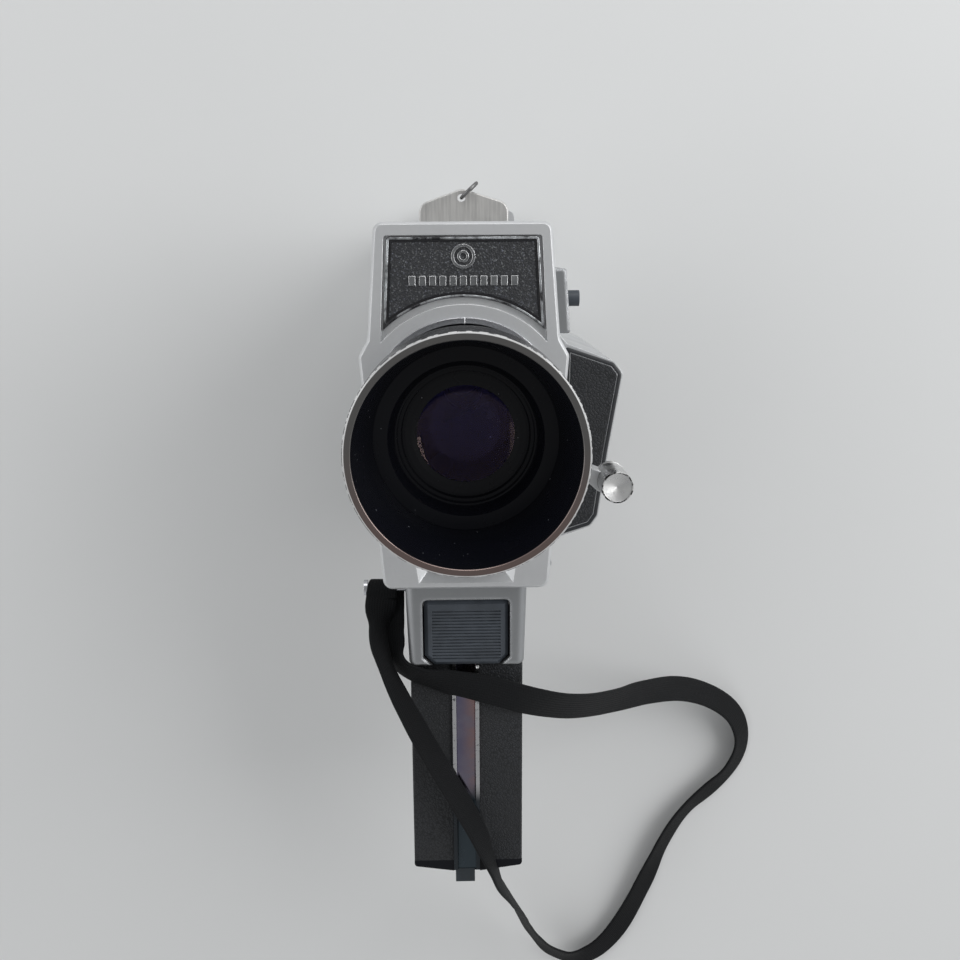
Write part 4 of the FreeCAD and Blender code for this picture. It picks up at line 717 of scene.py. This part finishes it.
def add_door_panels():
    """Leatherette on the bulge: its front in a smooth border with a silver line, and its outer side."""
    low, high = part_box("film_door")
    corners = [(28.2, -36.9), (36.55, -34.25), (38.6, -31.3), (41.35, -11.6), (45.0, 10.45), (42.65, 13.45),
               (29.0, 18.1)]
    corners = [(x * MM, y * MM) for x, y in corners]
    radii = [radius * MM for radius in (0.6, 2.2, 1.6, 12, 2.3, 1.4, 0.5)]

    def outline_at(distance):
        return rounded_inset(corners, radii, distance)

    front = high.z
    border = framed_panel("door_border", outline_at, front - 0.1 * MM, [
        (0.0, front + 0.3 * MM), (0.15 * MM, front + 0.5 * MM), (0.4 * MM, front + 0.6 * MM),
        (1.0 * MM, front + 0.6 * MM), (1.1 * MM, front + 0.45 * MM), (1.3 * MM, front + 0.4 * MM)])
    border.data.materials.append(plastic("border_black", (0.018, 0.020, 0.023), 0.34, 900))
    wire = outline_wire("door_silver_line", outline_at(1.2 * MM), front + 0.47 * MM, 0.11 * MM)
    wire.data.materials.append(bright_metal("line_silver", (0.36, 0.37, 0.39), 0.25))
    field = framed_panel("door_leather", outline_at, front - 0.1 * MM, [
        (1.32 * MM, front + 0.45 * MM), (1.57 * MM, front + 0.56 * MM),
        (2.12 * MM, front + 0.6 * MM)], FLAT_FIELD)
    side = add_door_side(low, high)
    for piece in (field, side):
        piece.data.materials.append(bpy.data.materials["leatherette_black"])
    for piece in (border, wire, field, side):
        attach(piece, "door")
    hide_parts("door_panels")


def outline_wire(name, outline, level, radius):
    """A fine wire laid along a closed outline."""
    points, faces = [], []
    count, sides = len(outline), 6
    for index, point in enumerate(outline):
        along = (outline[(index + 1) % count] - outline[index - 1]).normalized()
        normal = Vector((-along.y, along.x))
        for side in range(sides):
            turn = 2 * math.pi * side / sides
            out = normal * math.cos(turn) * radius
            points.append((point.x + out.x, point.y + out.y, level + math.sin(turn) * radius))
    for index in range(count):
        after = (index + 1) % count
        for side in range(sides):
            other = (side + 1) % sides
            faces.append([index * sides + side, after * sides + side, after * sides + other,
                          index * sides + other])
    return mesh_piece(name, points, faces, 60)


def add_door_side(low, high):
    """A thin panel along the bulge's outer side, with softened ends."""
    line = [(39.22, -30.0), (40.5, -20.8), (41.74, -11.6), (43.5, -1.2), (45.22, 9.1)]
    ends = [(low.z + 6 * MM, 0.05), (low.z + 6.3 * MM, 0.45), (low.z + 7 * MM, 0.58), (high.z - 6 * MM, 0.58),
            (high.z - 5.3 * MM, 0.45), (high.z - 5 * MM, 0.05)]
    points, faces = [], []
    for x, y in line:
        for level, proud in ends:
            points.append((x * MM + proud * MM, y * MM - 0.06 * MM, level))
        points.append((x * MM - 0.05 * MM, y * MM, ends[-1][0]))
        points.append((x * MM - 0.05 * MM, y * MM, ends[0][0]))
    ring = len(ends) + 2
    for index in range(len(line) - 1):
        for corner in range(ring):
            after = (corner + 1) % ring
            faces.append([index * ring + corner, (index + 1) * ring + corner, (index + 1) * ring + after,
                          index * ring + after])
    faces.append(list(range(ring)))
    faces.append([(len(line) - 1) * ring + corner for corner in reversed(range(ring))])
    return mesh_piece("door_side_leather", points, faces)


def add_knob():
    """The zoom knob: turned aluminium with a coned dish inside a thin rim."""
    low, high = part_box("zoom_knob")
    centre = ((low.x + high.x) / 2, (low.y + high.y) / 2)
    radius = (high.x - low.x) / 2
    back, top = low.z, high.z
    profile = [
        (0.2 * MM, back), (radius - 0.3 * MM, back), (radius, back + 0.3 * MM), (radius, back + 1.2 * MM),
        (radius - 0.25 * MM, back + 1.3 * MM), (radius - 0.25 * MM, back + 1.8 * MM),
        (radius, back + 1.9 * MM),
        (radius, top - 0.1 * MM), (radius - 0.1 * MM, top), (radius - 0.4 * MM, top),
        (radius - 0.47 * MM, top - 0.1 * MM), (0.05 * MM, top - 0.98 * MM),
    ]
    knob = turned("zoom_knob_turned", profile, centre, sharp=12)
    knob.data.materials.append(spun_metal("knob_aluminium", centre))
    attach(knob, "zoom")
    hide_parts("zoom_knob")


def add_casting_pin():
    """The small open rivet at the foot of the grip casting."""
    low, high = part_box("trigger")
    centre = (3.3 * MM, low.y - 1.15 * MM)
    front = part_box("grip_frame")[1].z
    profile = [(0.28 * MM, front), (0.62 * MM, front), (0.62 * MM, front + 4.4 * MM),
               (0.52 * MM, front + 4.6 * MM), (0.36 * MM, front + 4.6 * MM), (0.28 * MM, front + 4.4 * MM)]
    pin = turned("casting_rivet", profile, centre, 32)
    pin.data.materials.append(bright_metal("rivet_steel", (0.75, 0.75, 0.74), 0.2))
    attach(pin, "camera")


# Looks of the CAD nodes.

def build_looks():
    """Materials by slot name, and by node name where one node needs its own."""
    silver = satin_metal("silver_paint_look", (0.60, 0.61, 0.62), 0.36, 0.7)
    cast = satin_metal("cast_metal_look", (0.36, 0.37, 0.38), 0.34, peel=1500, depth=0.00002, edge=0.0016)
    plate = satin_metal("plate_look", (0.68, 0.69, 0.70), 0.36, 0.7, depth=0.000006)
    return {
        "silver_paint": silver,
        "plate_metal": plate,
        "cast_metal": cast,
        "black_crinkle": crinkle("crinkle_spare"),
        "bright_metal": bright_metal("bright_look"),
        "window_glass": window_glass("window_look"),
        "black_paint": gloss_black("black_paint_look", 0.22, 0.5, 0.2).material,
        "coated_glass": coated_glass("coated_look", (0.60, 0.62, 0.95), 105.0),
        "clear_glass": coated_glass("clear_look", (0.92, 0.95, 0.96), 120.0),
        "steel": bright_metal("steel_look", (0.50, 0.495, 0.485), 0.24, (1, 1, 0.15)),
        "brass": bright_metal("brass_look", (0.62, 0.44, 0.17), 0.22),
        "black_plastic": plastic("black_plastic_look", (0.020, 0.020, 0.022)),
        "blue_grey_plastic": plastic("blue_grey_look", (0.052, 0.062, 0.076), 0.44),
        "leatherette": leather("leatherette_black"),
        "knob_metal": bright_metal("knob_spare", (0.78, 0.78, 0.78)),
        "rubber": rubber("rubber_look"),
        "cell_sleeve": cell_sleeve("cell_look"),
        "board": board("board_look"),
        "webbing": webbing("webbing_black"),
        "lens_hood": hood_black("hood_look"),
        "trim_strip": trim_metal("trim_look"),
        "filter_key": bright_metal("key_steel", (0.72, 0.71, 0.69), 0.34, (1, 0.06, 1)),
        "key_ring": bright_metal("ring_steel", (0.22, 0.22, 0.22), 0.30),
        "nameplate_emblem": bright_metal("emblem_metal", (0.34, 0.35, 0.36), 0.22),
        "strip_foot": plastic("foot_dark", (0.030, 0.040, 0.048), 0.30),
    }


def dress_nodes(looks):
    slot_of = {part["node"]: part["material_slot"] for part in frame["record"]["subparts"]}
    for name, piece in nodes.items():
        material = looks.get(name) or looks[slot_of[name]]
        for place in piece.material_slots:
            place.material = material


# Room.

def add_floor():
    reach = 3.0
    floor = mesh_piece("floor", [(-reach, -reach, -0.0001), (reach, -reach, -0.0001), (reach, reach, -0.0001),
                                 (-reach, reach, -0.0001)], [[0, 1, 2, 3]])
    floor.data.materials.append(floor_look())


def add_light(name, place, aim, size, power, colour=(1, 1, 1)):
    data = bpy.data.lights.new(name, "AREA")
    data.shape = "RECTANGLE"
    data.size, data.size_y = size
    data.energy = power
    data.color = colour
    light = link(bpy.data.objects.new(name, data))
    light.location = place
    light.rotation_mode = "QUATERNION"
    light.rotation_quaternion = (Vector(aim) - Vector(place)).to_track_quat("-Z", "Y")


def add_room():
    """A bright horizon under a dimmer ceiling, and a wide window on the right."""
    world = bpy.data.worlds.new("room")
    bpy.context.scene.world = world
    world.use_nodes = True
    tree = world.node_tree
    sky = tree.nodes["Background"]
    spot = tree.nodes.new("ShaderNodeTexCoord")
    split = tree.nodes.new("ShaderNodeSeparateXYZ")
    tree.links.new(spot.outputs["Generated"], split.inputs[0])
    shades = tree.nodes.new("ShaderNodeValToRGB")
    stops = [(0.0, 0.95), (0.35, 0.95), (0.65, 0.66), (0.9, 0.48), (1.0, 0.42)]
    while len(shades.color_ramp.elements) < len(stops):
        shades.color_ramp.elements.new(0.5)
    for stop, (place, level) in zip(shades.color_ramp.elements, stops):
        stop.position = place
        stop.color = (level * 0.99, level, level * 1.01, 1)
    tree.links.new(split.outputs[2], shades.inputs[0])
    tree.links.new(shades.outputs[0], sky.inputs["Color"])
    sky.inputs["Strength"].default_value = 0.71
    add_light("window", (0.9, 0.35, 0.75), (0, 0, 0.05), (0.9, 0.9), 8)
    add_light("far_side", (-0.8, 0.1, 0.6), (0, 0, 0.05), (0.8, 0.8), 2)
    add_light("top_side", (0.1, 1.0, 0.7), (0, 0, 0.05), (0.9, 0.5), 3.2)


bpy.context.scene.view_settings.view_transform = "Standard"
add_camera()
strap_pieces = add_strap()
looks = build_looks()
dress_nodes(looks)
for piece in strap_pieces:
    piece.data.materials.append(looks["webbing"])
add_nameplate()
add_door_panels()
add_knob()
add_casting_pin()
add_floor()
add_room()
